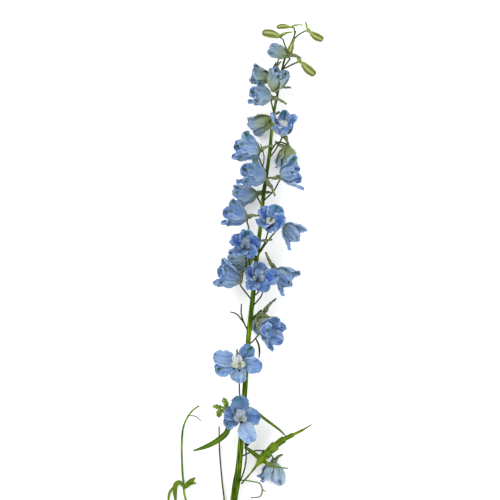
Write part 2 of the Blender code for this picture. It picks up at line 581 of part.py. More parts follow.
def main():
    for obj in list(bpy.data.objects):
        bpy.data.objects.remove(obj)
    sepal_blue = make_material("sepal_blue", (0.16, 0.30, 0.63), 0.55)
    bee_white = make_material("bee_white", (0.80, 0.81, 0.72), 0.6)
    bud_green = make_material("bud_green", (0.27, 0.40, 0.10), 0.5)
    stem_green = make_material("stem_green", (0.10, 0.22, 0.02), 0.5)
    leaf_green = make_material("leaf_green", (0.11, 0.25, 0.02), 0.5)
    stem(stem_green)
    for flower in FLOWERS:
        bloom(flower, sepal_blue)
        if flower.open:
            bee(flower, bee_white)
    for shape in BUDS:
        bud(shape, bud_green)
    for shape in LEAVES:
        leaf(shape, leaf_green)
    for shape in SHOOTS:
        shoot(shape, stem_green)


main()
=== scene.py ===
"""Looks of a cut delphinium spike that lies on its back on a pale table.

Lengths are in millimetres of the spike's own layout: X across it, Y from the cut end
to the tip, Z up from the table. place() turns them into metres of the frame.
"""

import random
from collections import namedtuple
from math import atan2, copysign, cos, exp, pi, radians, sin, sqrt

import bpy
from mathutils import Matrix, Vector, noise


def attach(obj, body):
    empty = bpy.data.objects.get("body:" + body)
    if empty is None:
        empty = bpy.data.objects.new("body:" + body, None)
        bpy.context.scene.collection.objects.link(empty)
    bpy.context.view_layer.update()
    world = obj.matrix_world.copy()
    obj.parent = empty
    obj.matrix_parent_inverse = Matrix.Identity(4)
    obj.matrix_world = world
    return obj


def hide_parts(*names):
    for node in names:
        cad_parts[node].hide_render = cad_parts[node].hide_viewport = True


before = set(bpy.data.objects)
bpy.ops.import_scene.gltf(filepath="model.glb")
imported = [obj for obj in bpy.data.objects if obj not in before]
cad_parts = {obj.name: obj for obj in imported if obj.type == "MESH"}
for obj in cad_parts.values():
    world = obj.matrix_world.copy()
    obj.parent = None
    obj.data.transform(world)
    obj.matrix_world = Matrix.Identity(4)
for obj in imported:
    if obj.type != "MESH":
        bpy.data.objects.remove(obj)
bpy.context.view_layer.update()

MM = 0.001
# The point of the layout that stands at the frame's origin.
CENTRE = Vector((-4.1, 221.2, 0.0))

# The view: the middle of the photograph on the layout, the width it shows and how far
# away the camera stands.
VIEW_MIDDLE = Vector((0.0, 260.0, 25.0))
VIEW_WIDTH = 400.0
CAMERA_DISTANCE = 2400.0
SENSOR_WIDTH = 36.0

# Sepals: the skin's thickness, the faces along and across one, its turn about its own
# length in degrees, and the claw that it grows from.
SEPAL_THICKNESS = 0.3
SEPAL_ROWS = 40
SEPAL_COLUMNS = 24
SEPAL_TWIST = 17.0
CLAW_SHARE = 0.18
CLAW_RADIUS = 1.85
CLAW_DEPTH = 0.3
# Where a sepal is widest and where its callus stands, as shares of its length, the share
# of its own extra bend that its middle takes, and how far its rim waves.
WIDEST_AT = 0.52
CALLUS_AT = 0.84
MIDDLE_SHARE = 0.6
RUFFLE = 1.1
# The heart that the sepals meet in, the neck behind it, the stalk and the spur, and the
# gap at which one part is seated on another.
HEART_RADIUS = 2.3
HEART_RISE = 1.3
NECK_LENGTH = 3.4
BUD_NECK_SHARE = 0.7
NECK_RADIUS = 0.9
STALK_RADIUS = 0.6
SPUR_TIP_RADIUS = 0.7
SEAT_GAP = 0.3
# The bee: its petals' thickness and how far their rims wave, hairs on each bearded petal,
# anthers in a tuft, how high and thick these are, and how thick a hair is.
BEE_THICKNESS = 0.22
BEE_RUFFLE = 0.45
BEARD_HAIRS = 26
TUFT_ANTHERS = 7
ANTHER_HEIGHT = 6.0
ANTHER_RADIUS = 0.72
HAIR_RADIUS = 0.12
# Buds and leaves: sepals folded in a bud, a leaf's thickness and the teeth along its edge.
BUD_SEPALS = 5
LEAF_THICKNESS = 0.45
LEAF_TEETH = 9.0
# How the rows of a sheet crowd towards its tip, and the angles past which an edge is sharp.
ROW_CROWDING = 1.5
ROD_EDGE = radians(60)
SHEET_EDGE = radians(70)
# Petals of a bee: degrees round from the upper side, length and width, bend and finish.
BEE_PETALS = ((17, (10.6, 5), (16, 34, 66), "bee"), (341, (10, 5), (18, 38, 60), "bee"),
              (92, (6.8, 5.4), (20, 34, 84), "beard"), (266, (6.8, 5.4), (20, 34, 84), "beard"))
# A bee: its turn about the flower's axis in degrees, its size as a share, how white it is
# from 0 to 1, and where its dark anthers stand, in millimetres left of and below the middle.
Bee = namedtuple("Bee", "turn size white tufts")

BEES = {
    "bloom_05": Bee(180, 1, 1, ((0, -3),)), "bloom_09": Bee(0, 0.7, 0.5, ((0, 2.4),)),
    "bloom_13": Bee(160, 0.66, 1, ((2.2, 3.4), (0.6, 5.8))), "bloom_15": Bee(0, 0.78, 0, ((0.8, 1.9),)),
    "bloom_18": Bee(0, 0.95, 0, ((1.2, 1.6),)), "bloom_21": Bee(10, 0.85, 0.5, ((0, 3),)),
    "bloom_22": Bee(8, 1.1, 0.8, ((4, 3.6), (-0.8, 5.2))), "bloom_23": Bee(0, 1, 0.35, ((-0.8, 3.2),)),
}

# Stem: centre line x, y, z and radius.
STEM = (
    (-19.2, 0, 2.8, 2.8), (-16.8, 28, 4.5, 2.8), (-12.8, 60, 8, 2.9),
    (-11.2, 71, 9.4, 3.1), (-9.3, 84, 11.2, 2.6), (-7.6, 101.6, 13.2, 2.4),
    (-5.6, 128, 16, 2.2), (-4, 149.6, 18.5, 2.1), (-1.4, 188, 21.5, 2),
    (2, 220, 22.5, 1.9), (5.2, 252, 23, 1.8), (8.2, 277.6, 23, 1.6),
    (10.8, 303.2, 23, 1.5), (13.6, 322.4, 22.5, 1.4), (16, 340, 22, 1.4),
    (17.2, 353.6, 21.5, 1.3), (19.2, 370.4, 21, 1.2), (22, 384.8, 20.5, 1),
    (26.6, 408.8, 20.5, 0.85), (31.2, 421.6, 21, 0.75), (34.4, 428.6, 21.5, 0.7),
    (36.6, 435.4, 22.5, 0.6),
)

# One flower: base is where its sepals meet, facing the direction it looks in (degrees
# round from +X in the plane of the table, then degrees up from it), size the length and
# width of its sepals, bend their angle from the flower's axis at claw, middle and tip,
# spur the end of the spur, stalk the route of its stalk from the stem, sepals the form
# of each sepal, open whether it has a bee.
Flower = namedtuple("Flower", "name base facing size bend spur stalk sepals open", defaults=(False,))

# One sepal: degrees round from the flower's upper side, its length and width as shares of
# the flower's size, degrees it bends out further, and its turn about its own length.
Sepal = namedtuple("Sepal", "turn long wide more twist", defaults=(SEPAL_TWIST,))

# Sets of sepals and bends that several flowers share.
EVEN = ((0, 0.95, 1, -4), (72, 1, 1, 0), (144, 1.02, 0.95, 3), (216, 1, 0.95, 3),
        (288, 0.98, 1, 0))
NODDING = ((0, 1, 1, 0), (74, 0.95, 1, -3), (142, 1, 0.95, 5), (218, 0.95, 0.95, 0),
        (288, 1, 1, 2))
HOODED = ((0, 0.85, 1.1, 26, -48), (74, 0.95, 1, -3), (142, 1, 0.95, 3), (218, 0.95, 0.95, 0),
        (288, 1, 1, 2))
REACHING = ((0, 0.95, 0.84, 5, -30), (94, 1, 0.84, 2), (176, 1.02, 0.6, 12, 0), (232, 0.76, 0.9, -5),
        (300, 0.76, 0.86, -5))
CUPPED = ((180, 0.98, 0.8, -6), (108, 0.96, 0.85, -9), (36, 0.72, 1, 4), (324, 0.76, 1, 4),
        (252, 1, 1.05, 0))

CLOSED = (50, 2, 4)
SLIM = (56, 8, 18)
BELL = (62, 10, 28)
CUP = (62, 18, 34)
FACE = (62, 42, 50)
FLAT = (66, 72, 84)

FLOWERS = (
    Flower("bloom_01", (28.8, 416.4, 25), (157, 5), (15.5, 9.8), CLOSED, (40.8, 413.4, 28),
        ((25.8, 404.4, 21.5), (28.4, 408.2, 23), (31.6, 413, 24.4)), EVEN),
    Flower("bloom_02", (15.6, 397.6, 21), (164, 2), (17, 11.6), SLIM, (25, 411, 22.6),
        ((22.6, 388, 21), (19.6, 391.6, 21), (17.2, 394, 21.6)), NODDING),
    Flower("bloom_03", (18.6, 388, 34), (68, 20), (18.5, 11.8), SLIM, (32.4, 389.6, 29),
        ((22, 385, 21), (22.8, 386.6, 27), (20.6, 386, 31.4)), EVEN),
    Flower("bloom_04", (16.2, 382.2, 29.4), (171, 20), (18.5, 12), SLIM, (29, 376.6, 28.4),
        ((19.4, 370.4, 21.5), (18.6, 371.8, 23.4), (17.6, 376, 27)), HOODED),
    Flower("bloom_05", (26.4, 352.8, 28), (88, 35), (19.5, 13.4), CUP, (31, 343, 21.5),
        ((16, 334.4, 22), (20, 339.6, 23), (24.6, 347, 24.5)), CUPPED, True),
    Flower("bloom_06", (16, 365.6, 11.6), (208, -18), (19, 13), SLIM, (24, 371, 14),
        ((18.4, 358, 20.6), (17.6, 359.8, 18), (15.8, 362, 15.8)), NODDING),
    Flower("bloom_07", (6.6, 338.8, 26), (170, 10), (22, 14), BELL, (18.4, 343.4, 30.5),
        ((13.6, 321.6, 23), (10, 327, 25.5), (7, 333, 27.4)), HOODED),
    Flower("bloom_08", (30.8, 342.2, 11.4), (262, -14), (19, 13), SLIM, (20, 347.4, 14),
        ((15.8, 338, 20.8), (22, 346.2, 19), (28.8, 346.6, 16.6)), EVEN),
    Flower("bloom_09", (25.2, 318.6, 30), (16, 22), (21, 13.4), CUP, (14, 318, 28.4),
        ((11.6, 300, 23.4), (19.2, 307.6, 26), (23, 314.6, 29)), REACHING, True),
    Flower("bloom_10", (11.4, 316.8, 32), (160, 16), (22.5, 14.4), BELL, (20, 303, 29.4),
        ((10.2, 299, 23.6), (9.6, 305, 26.5), (11, 311.4, 29.6)), HOODED),
    Flower("bloom_11", (5, 305.2, 15), (187, -8), (20.5, 13.4), (52, 10, 34), (17.4, 306, 16.5),
        ((9.6, 293, 21.8), (8.4, 297.6, 20), (6.4, 301.2, 18.2)), EVEN),
    Flower("bloom_12", (-3.4, 286.2, 28), (172, 15), (20.5, 12.6), (60, 8, 24), (7.4, 287.4, 27.4),
        ((2.6, 234, 23.8), (-0.8, 252, 25.5), (-0.8, 275, 26.6), (-2.2, 281.6, 27.2)),
        HOODED),
    Flower("bloom_13", (16.6, 282, 37), (95, 66), (13.8, 13.4), FACE, (20, 293, 30),
        ((6.4, 258, 24), (11.8, 266, 28), (15, 277.8, 33.6)),
        ((-27, 1.06, 1.1, -4), (45, 0.96, 1.05, -2), (117, 0.98, 0.95, 0), (189, 0.92, 0.9, 3),
        (261, 1.02, 1.05, 0)), True),
    Flower("bloom_14", (28, 279.2, 23), (-42, 4), (19, 13), BELL, (20.6, 288.4, 22),
        ((5.4, 254, 23.4), (14, 267, 23.6), (23.6, 277.8, 23)), REACHING),
    Flower("bloom_15", (-3.2, 262.2, 38), (95, 70), (14, 13.8), FACE, (17.6, 268.4, 33),
        ((2.8, 229, 24), (-2.6, 243, 27.6), (-3.4, 256, 33.6)), EVEN, True),
    Flower("bloom_16", (1.2, 254.4, 11.5), (196, -14), (19.5, 13.5), BELL, (9.6, 260.4, 12.6),
        ((5, 247, 21.6), (4.8, 249.4, 18), (3.4, 252, 14.8)), NODDING),
    Flower("bloom_17", (-7.8, 236, 28), (160, 8), (22, 14.8), (52, 14, 34), (-3.4, 246.6, 24),
        ((1.4, 220, 23), (-4, 226.8, 25.2), (-7.4, 231, 27.2)), NODDING),
    Flower("bloom_18", (6.2, 236.6, 37), (60, 72), (14.4, 14), (62, 50, 60), (9.6, 246, 31),
        ((3, 216, 24), (9.6, 224.4, 28), (11.2, 230.4, 33)),
        ((0, 0.9, 1, -4), (66, 0.92, 1, -4), (140, 0.98, 0.9, 0), (208, 0.98, 0.9, 0),
        (274, 1.14, 1, 6)), True),
    Flower("bloom_19", (21.6, 243.4, 25), (-40, 6), (20, 13.4), BELL, (12.6, 258.4, 26),
        ((4.2, 224, 23), (12, 231, 23.6), (18, 238.6, 24.4)), REACHING),
    Flower("bloom_20", (10.6, 208.4, 11), (256, -10), (18.5, 12.5), BELL, (21, 221, 16),
        ((-0.6, 200, 20), (4, 206.6, 17), (8.6, 211.4, 14)), EVEN),
    Flower("bloom_21", (9.6, 195, 33), (-4, 35), (19, 13.6), (62, 24, 40), (4.4, 205.6, 30),
        ((-1.4, 184, 22.8), (2.6, 187.4, 27), (6.4, 192, 31.2)),
        ((6, 1.04, 1, -6, -40), (76, 0.9, 1.1, -12), (166, 1, 0.7, 12, 0), (236, 0.95, 1, 0),
        (296, 1, 1, 0)), True),
    Flower("bloom_22", (-8, 169.6, 31), (200, 78), (18.5, 15), FLAT, (-10.4, 180.6, 26.6),
        ((-5.6, 130, 17.4), (-8.4, 146, 21), (-8.4, 160, 26.4)),
        ((-35, 0.9, 0.88, 0), (73, 1.1, 0.94, 4), (105, 1.02, 1.02, 6), (182, 0.77, 1, 0),
        (268, 0.98, 1, 0)), True),
    Flower("bloom_23", (-7.6, 124.8, 28), (90, 80), (17.5, 15), FLAT, (-9.6, 135.8, 22),
        ((-9.4, 71, 11), (-4.4, 84, 15), (-3.2, 99, 18.4), (-6.2, 116, 24)),
        ((6, 1, 1.1, -6), (62, 0.74, 0.95, -4), (112, 0.74, 0.85, -6), (207, 1.14, 1, 6),
        (280, 0.84, 1, 0)), True),
    Flower("bloom_24", (18.4, 88.6, 11), (268, -6), (19, 15), (66, 24, 34), (26.4, 95.6, 9.6),
        ((-8.6, 93, 11.4), (4, 98.4, 10.6), (14, 97.4, 11.4), (18.2, 94.6, 12.2)),
        ((44, 0.95, 0.9, 2), (112, 0.86, 0.85, -4), (184, 0.92, 0.9, -4), (258, 0.84, 0.85, -6),
        (330, 1.06, 0.9, -2))),
)

# Closed buds: base, tip, largest radius, end of the spur, route of the stalk.
Bud = namedtuple("Bud", "name base tip radius spur stalk")

BUDS = (
    Bud("bud_1", (24, 430.8, 24), (10, 434, 25), 3.3, (34, 434.4, 25.6),
        ((30.2, 419.6, 21), (28, 424, 22), (26.4, 428.4, 23.2))),
    Bud("bud_2", (32, 438.4, 24.4), (21.4, 438.4, 25), 2.1, (41.6, 440, 25.6),
        ((36, 433, 22.2), (35.4, 436.4, 23.4), (34.4, 437.8, 24))),
    Bud("bud_3", (48, 434.4, 23), (58.4, 428.4, 22), 3, (44.4, 442.4, 24.6),
        ((34, 427.4, 21.4), (38.4, 432, 22.4), (45.2, 435.2, 23))),
    Bud("bud_4", (41.6, 410, 22), (52, 400.4, 21), 3.3, (37, 416.4, 22.4),
        ((26, 404.6, 20.6), (31.6, 407.6, 20), (38.4, 410.6, 20.6))),
    Bud("bud_5", (34.4, 425.2, 26.6), (32, 417.2, 28), 2.3, (35.6, 429, 27.2),
        ((32.6, 424.6, 21.2), (34.6, 426.6, 23.4), (35, 426.6, 25))),
)

# Narrow leaves and strips: route x, y, z with the half width there, and the turn of the
# blade about its own length, in degrees, at its two ends.
Blade = namedtuple("Blade", "name route turn")

LEAVES = (
    Blade("leaf_1", ((-8.6, 126.2, 16, 0.7), (-12, 125.4, 16, 0.9), (-16.4, 120.6, 16.4, 1.9),
        (-19.6, 112.8, 16, 2.5), (-27.6, 106.2, 14.6, 2.3), (-36.4, 101.6, 12.4, 1.7),
        (-46, 98.2, 9.6, 0.5)), (40, 10)),
    Blade("leaf_2", ((-2.2, 133.4, 17, 0.7), (2.4, 132.4, 17.4, 0.8), (10.4, 125.6, 18, 1.2),
        (20, 118.4, 16.8, 1), (24, 115.2, 15.8, 0.9), (28.8, 110.4, 14.2, 0.4)),
        (20, 30)),
    Blade("leaf_3", ((-7, 71.6, 9, 0.7), (0, 80, 13, 0.6), (5.2, 87, 18, 1.2),
        (10, 93.4, 21, 3), (17, 100.4, 22.2, 3.4), (25, 107, 22, 2.6),
        (33, 111.2, 20, 1.6), (42, 115.4, 16.4, 0.9), (49.6, 119.6, 12, 0.4)),
        (10, -10)),
    Blade("leaf_4", ((-4.6, 101.4, 13.4, 0.7), (-1.6, 100, 14, 1.2), (5.4, 94.8, 15.8, 1.8),
        (11, 90.6, 18, 1.6), (16.4, 87.4, 19.6, 0.8), (23, 85.8, 19.6, 0.5),
        (30.4, 84.8, 17.6, 0.4)), (10, 0)),
)

# Side shoots: rods are routes of x, y, z and radius, blades are leaf routes, buds are
# base, tip and radius.
Shoot = namedtuple("Shoot", "name rods blades buds")

SHOOTS = (
    Shoot("side_shoot", (
        ((-22.7, 9, 2.4, 1), (-27, 20, 1.6, 0.9), (-36, 32, 1, 0.9),
        (-46, 45, 0.9, 0.8), (-52.4, 60, 1, 0.8), (-54.2, 76, 1.2, 0.8),
        (-55.2, 96, 1.6, 0.8), (-54.4, 114, 2.4, 0.8), (-50.8, 124.4, 3.4, 0.7),
        (-46, 130.8, 4.6, 0.7), (-40.8, 134.4, 5.4, 0.6)),
        ((-49.6, 126.6, 3.8, 0.4), (-43.6, 125.6, 4, 0.4), (-39.4, 121.8, 3.6, 0.35))),
        (Blade("lobe_1", ((-53.8, 67, 1.4, 0.6), (-50.8, 70.2, 2.4, 1.9), (-47.4, 73.6, 3, 1.9),
        (-44, 76.4, 3, 0.35)), (0, 10)),
        Blade("lobe_4", ((-50.6, 69.8, 2.4, 1), (-46.8, 71.8, 3, 1.2), (-43.2, 71.4, 3, 0.35)),
        (0, 10)),
        Blade("lobe_2", ((-54, 69, 1.4, 0.6), (-57.2, 72.6, 2.2, 1.6), (-60.6, 68.4, 2, 1.9),
        (-60, 56, 1.2, 0.7)), (0, 0)),
        Blade("lobe_3", ((-61.4, 69, 1.9, 0.5), (-65.2, 63.6, 1.4, 0.9), (-66.2, 53, 0.8, 0.5)),
        (0, 0))),
        ()),
    Shoot("thin_shoot", (
        ((-20.2, 33, 4.2, 0.6), (-20.6, 48, 3.6, 0.65), (-21, 60, 3, 0.65),
        (-22.6, 74, 2.8, 0.65), (-24.6, 98, 2.8, 0.6), (-25, 117.6, 3.4, 0.5)),), (), ()),
    Shoot("bud_cluster", (
        ((-8.4, 132.4, 16.6, 0.7), (-13, 133.4, 17.4, 0.6), (-18.4, 134.2, 17.6, 0.7),
        (-24.6, 133.6, 17.6, 0.5)),),
        (), (((-18.2, 134.4, 17.6), (-21.4, 141.4, 18), 2.3),
        ((-18.6, 133.8, 17.6), (-21.6, 129.2, 18.4), 2.8),
        ((-22.6, 133.8, 17.8), (-30, 134.6, 18.6), 1.8),
        ((-24, 133, 17.6), (-25.4, 125.6, 18), 2.4))),
    Shoot("twig", (
        ((-7.4, 74.6, 9.4, 0.55), (-4, 74.4, 8, 0.5), (3, 73, 4.4, 0.5),
        (8, 71.4, 2, 0.5), (9.8, 66, 0.9, 0.5), (8, 60.8, 0.7, 0.45), (0.4, 59.8, 0.7, 0.4)),
        ((9.6, 66.6, 0.9, 0.4), (12.8, 64.8, 0.8, 0.35)),), (), ()),
)

# Bracts and strips on the stalks, fused with the stem: routes of x, y, z and radius.
BRACTS = (
    ((-0.8, 194, 22, 0.6), (-4.8, 201.6, 22.4, 0.65), (-7, 209, 22.6, 0.6),
     (-6.8, 216.8, 22.8, 0.5)),
    ((-4.4, 201, 22.4, 0.6), (-10.4, 208.4, 22.4, 0.6), (-16, 210.4, 22, 0.45)),
    ((4.2, 190, 28.4, 0.5), (6.6, 185, 27, 0.8), (7.6, 179.6, 26, 0.8), (7.2, 173.6, 25.4, 0.5)),
    ((0.6, 204, 22.4, 0.4), (10, 206.2, 24, 0.4), (20, 206.4, 24, 0.35)),
    ((10.4, 327, 24.8, 0.4), (11.2, 335.2, 24, 0.4), (8.6, 345, 20.6, 0.35)),
    ((20.6, 389, 21, 0.5), (15.8, 396.4, 25, 1.9), (18, 403.2, 25, 1.4),
     (21, 410.6, 24, 0.4)),
    ((24.4, 402.8, 21, 0.4), (21.8, 408, 22, 0.6), (23.2, 413.6, 22.6, 0.5)),
    ((-3.6, 101.4, 13.6, 0.5), (-2, 104.6, 15.6, 1.6), (-1.2, 108.4, 16, 0.4)),
)

# The tints of each flower, from 0 to 1: the sage green of young and shaded sepals, the
# teal at the tip of the upper sepal, the deep blue patches of the throat and the pale
# streaks, then for each sepal how far it is shaded, or paled where below 0, and how
# strong its green callus is.
Tint = namedtuple("Tint", "sage teal deep pale shades spots", defaults=((1.0, 0.9, 0.8, 0.9, 0.8),))

TINTS = {
    "bloom_01": Tint(0.85, 0.3, 0.3, 0.3, (0.2, 0.3, 0.2, 0.1, 0.2)),
    "bloom_02": Tint(0.95, 0.2, 0.2, 0.5, (-0.2, -0.1, 0, 0.1, 0)),
    "bloom_03": Tint(0.9, 0.3, 0.2, 0.4, (-0.1, -0.2, 0, 0.1, 0)),
    "bloom_04": Tint(0.4, 0.9, 0.2, 0.5, (0, -0.1, 0, -0.1, 0.1)),
    "bloom_05": Tint(0.25, 0.8, 0.5, 0.4, (0, 0.1, 0, -0.1, 0.1), (0.7, 0.2, 1, 0.2, 0.2)),
    "bloom_06": Tint(1, 0.1, 0.1, 0.3, (0.3, 0.2, 0.2, 0.3, 0.3), (0.5, 0.7, 0.3, 0.2, 0.2)),
    "bloom_07": Tint(0.12, 1, 0.3, 0.5, (0.2, 0.2, 0, -0.1, 0.1)),
    "bloom_08": Tint(0.95, 0.1, 0.1, 0.7, (0, -0.2, 0.1, 0, 0), (0.2, 0.2, 0.2, 0.2, 0.2)),
    "bloom_09": Tint(0.25, 1, 0.3, 0.6, (0, 0, 0.1, 0, 0), (1, 1, 0.2, 0.2, 0.3)),
    "bloom_10": Tint(0.15, 0.8, 0.5, 0.2, (0.3, 0.2, 0.2, 0.2, 0.3)),
    "bloom_11": Tint(0.4, 0.3, 0.5, 0.2, (0.1, 0.2, 0.2, 0.1, 0.1)),
    "bloom_12": Tint(0.1, 0.5, 0.6, 0.2, (0.3, 0.1, 0.1, 0.2, 0.2)),
    "bloom_13": Tint(0.05, 0.8, 1, 0.3, (0.1, 0.2, 0.2, 0.3, 0.1), (0.1, 0.1, 1, 0.3, 0.1)),
    "bloom_14": Tint(0.25, 0.3, 0.4, 0.6, (-0.16, -0.14, 0, 0, 0), (0.3, 0.6, 0.2, 0.9, 0.8)),
    "bloom_15": Tint(0.05, 0.8, 1, 0.1, (0.3, 0.4, 0.3, 0.3, 0.4), (0.1, 0.1, 1, 0.1, 0.1)),
    "bloom_16": Tint(0.7, 0.3, 0.3, 0.2, (0.1, 0.2, 0.1, 0.2, 0.2)),
    "bloom_17": Tint(0.2, 0.4, 0.5, 0.3, (0.2, 0.2, 0.1, 0.1, 0.2)),
    "bloom_18": Tint(0.05, 0.5, 1, 0.1, (0.5, 0.4, 0.2, 0.3, 0.3), (0, 0.1, 0.7, 0.6, 0.9)),
    "bloom_19": Tint(0.25, 0.9, 0.5, 0.4, (-0.05, 0.05, 0.1, 0.1, 0.1), (0.5, 1, 0.2, 0.9, 0.7)),
    "bloom_20": Tint(0.9, 0, 0, 0.2, (0.1, 0.2, 0.1, 0.3, 0.1), (0, 0, 0, 0, 0)),
    "bloom_21": Tint(0.1, 0.5, 1, 0.4, (0.3, 0.1, 0.5, -0.1, 0.1), (0.2, 1, 0, 0, 0)),
    "bloom_22": Tint(0.2, 0.8, 0.1, 0.3, (0.3, -0.1, 0, -0.2, 0), (0.9, 0.1, 1, 0, 0.1)),
    "bloom_23": Tint(0.16, 0.7, 0.5, 0.2, (0.5, 0.35, 0.35, -0.3, 0.35), (0.3, 0, 1, 0, 0.1)),
    "bloom_24": Tint(0.5, 0.2, 0.1, 0.9, (-0.1, 0.3, 0.6, 0.3, -0.3), (0.9, 0.3, 1, 0.4, 0.8)),
}


def linear(code):
    """Linear colour of an sRGB hex code."""
    channels = [int(code[k:k + 2], 16) / 255 for k in (1, 3, 5)]
    return (*[c / 12.92 if c <= 0.04045 else ((c + 0.055) / 1.055) ** 2.4 for c in channels], 1.0)


def unit(vector):
    return vector.normalized()


def lerp(a, b, t):
    return a + (b - a) * t


def ease(t):
    t = min(max(t, 0.0), 1.0)
    return t * t * (3.0 - 2.0 * t)


def soft_noise(*point):
    """Soft noise from about -1 to 1."""
    return noise.noise(Vector(point))


def place(point):
    return (Vector(point) - CENTRE) * MM


def deselect():
    bpy.ops.object.select_all(action="DESELECT")


def smooth_route(controls, steps):
    """Points on a smooth curve through the controls, radius or width with them."""
    count = len(controls)
    route = []
    for index in range(count - 1):
        before = controls[max(index - 1, 0)]
        here = controls[index]
        after = controls[index + 1]
        beyond = controls[min(index + 2, count - 1)]
        for step in range(steps):
            t = step / steps
            route.append(tuple(
                0.5 * (2 * here[k] + (after[k] - before[k]) * t
                       + (2 * before[k] - 5 * here[k] + 4 * after[k] - beyond[k]) * t * t
                       + (3 * here[k] - before[k] - 3 * after[k] + beyond[k]) * t ** 3)
                for k in range(len(here))))
    route.append(tuple(controls[-1]))
    return route


def rod(name, route, material, steps=5, resolution=3):
    """A round rod along a route of x, y, z and radius, as a bevelled curve made a mesh."""
    deselect()
    bpy.ops.curve.primitive_bezier_curve_add(radius=MM, location=(0, 0, 0))
    curve = bpy.context.object
    curve.name = name
    data = curve.data
    data.splines.clear()
    stops = smooth_route(route, steps)
    spline = data.splines.new("POLY")
    spline.points.add(len(stops) - 1)
    for point, stop in zip(spline.points, stops):
        point.co = (*place(stop[:3]), 1.0)
        point.radius = stop[3]
    data.bevel_depth = MM
    data.bevel_resolution = resolution
    data.use_fill_caps = True
    bpy.ops.object.convert(target="MESH")
    rod_mesh = bpy.context.object
    rod_mesh.data.materials.clear()
    rod_mesh.data.materials.append(material)
    bpy.ops.object.shade_smooth_by_angle(angle=ROD_EDGE)
    return rod_mesh


def pick(obj):
    deselect()
    bpy.context.view_layer.objects.active = obj
    obj.select_set(True)


def give_mark(mesh, name, values):
    """Gives each vertex its own value of a mark that the materials read."""
    layer = mesh.attributes.new(name, "FLOAT", "POINT")
    layer.data.foreach_set("value", values)


def apply_modifiers(obj):
    pick(obj)
    for modifier in list(obj.modifiers):
        bpy.ops.object.modifier_apply(modifier=modifier.name)


def shape_sheet(name, columns, rows, surface, thickness, materials, marks=None):
    """Lays a flat grid on surface(s, t), then gives it its thickness and materials.

    surface returns a layout point for s from -1 to 1 across and t from 0 to 1 along.
    The grid's own side is the outer one, and the side made by Solidify the inner one.
    """
    deselect()
    bpy.ops.mesh.primitive_grid_add(x_subdivisions=columns, y_subdivisions=rows, size=2.0,
                                    location=(0, 0, 0))
    sheet = bpy.context.object
    sheet.name = name
    mesh = sheet.data
    uv = mesh.uv_layers.active.data
    along = {}
    for vertex in mesh.vertices:
        s = vertex.co.x
        v = (vertex.co.y + 1.0) / 2.0
        t = 1.0 - (1.0 - v) ** ROW_CROWDING
        along[vertex.index] = (s * 0.5 + 0.5, t)
        point = Vector(surface(s, t))
        point.z = max(point.z, thickness * 0.6)
        vertex.co = place(point)
    for loop in mesh.loops:
        uv[loop.index].uv = along[loop.vertex_index]
    for name, value in (marks or {}).items():
        give_mark(mesh, name, [value] * len(mesh.vertices))
    for material in materials:
        mesh.materials.append(material)
    solidify = sheet.modifiers.new("Thickness", "SOLIDIFY")
    solidify.thickness = thickness * MM
    solidify.offset = 0.0
    if len(materials) > 1:
        solidify.material_offset = 1
        solidify.material_offset_rim = 1
    apply_modifiers(sheet)
    bpy.ops.object.shade_smooth_by_angle(angle=SHEET_EDGE)
    return sheet


def join(pieces, name):
    """One piece of several, by the name given."""
    deselect()
    for piece in pieces:
        piece.select_set(True)
    bpy.context.view_layer.objects.active = pieces[0]
    bpy.ops.object.join()
    joined = bpy.context.object
    joined.name = joined.data.name = name
    return joined


def settle(pieces, node):
    """Joins pieces and puts them on the frame in place of the node that they dress."""
    piece = join(pieces, node + "_fine")
    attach(piece, "root")
    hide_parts(node)


def add(tree, kind, inputs=None, **settings):
    """Adds a shader node with its settings, and its inputs as values or as links."""
    made = tree.nodes.new("ShaderNode" + kind)
    for name, value in settings.items():
        setattr(made, name, value)
    for socket, value in (inputs or {}).items():
        if isinstance(value, bpy.types.NodeSocket):
            tree.links.new(value, made.inputs[socket])
        else:
            made.inputs[socket].default_value = value
    return made


def new_material(name, roughness, specular, subsurface=0.0, sheen=0.0):
    """A material with its shader, whose constant values stand on the shader's sockets."""
    material = bpy.data.materials.new(name)
    material.use_nodes = True
    tree = material.node_tree
    shader = tree.nodes["Principled BSDF"]
    values = {"Roughness": roughness, "IOR": 1.42, "Specular IOR Level": specular,
              "Subsurface Weight": subsurface, "Subsurface Radius": (0.6, 0.8, 1.0),
              "Subsurface Scale": 0.0012, "Sheen Weight": sheen, "Sheen Roughness": 0.4}
    for socket, value in values.items():
        shader.inputs[socket].default_value = value
    return material, tree, shader


def mixed(tree, share, one, two):
    """The colour between two others, each a hex code or a socket, by a share from 0 to 1."""
    one, two = [linear(colour) if isinstance(colour, str) else colour for colour in (one, two)]
    return add(tree, "Mix", {0: share, 6: one, 7: two}, data_type="RGBA").outputs[2]


def layered(tree, colour, *coats):
    """A colour with coats over it in turn, each the share that it covers and its colour."""
    for share, coat in coats:
        colour = mixed(tree, share, colour, coat)
    return colour


def ramp(tree, value, low, high, most=1.0, least=0.0):
    """The least at the low value and the most at the high one."""
    return add(tree, "MapRange", {"Value": value, "From Min": low, "From Max": high,
                                  "To Min": least, "To Max": most}).outputs[0]


def worked_out(tree, operation, *values):
    return add(tree, "Math", dict(enumerate(values)), operation=operation).outputs[0]


def product(tree, one, two):
    return worked_out(tree, "MULTIPLY", one, two)


def mark(tree, name):
    return add(tree, "Attribute", attribute_name=name).outputs["Fac"]


def noise_on(tree, place_in, stretch, detail, **more):
    """Noise from 0 to 1, so many cells for each unit of the place along its three axes."""
    place_in = add(tree, "Mapping", {"Vector": place_in, "Scale": stretch}).outputs[0]
    return add(tree, "TexNoise", {"Vector": place_in, "Scale": 1.0, "Detail": detail,
                                  **more}).outputs["Fac"]


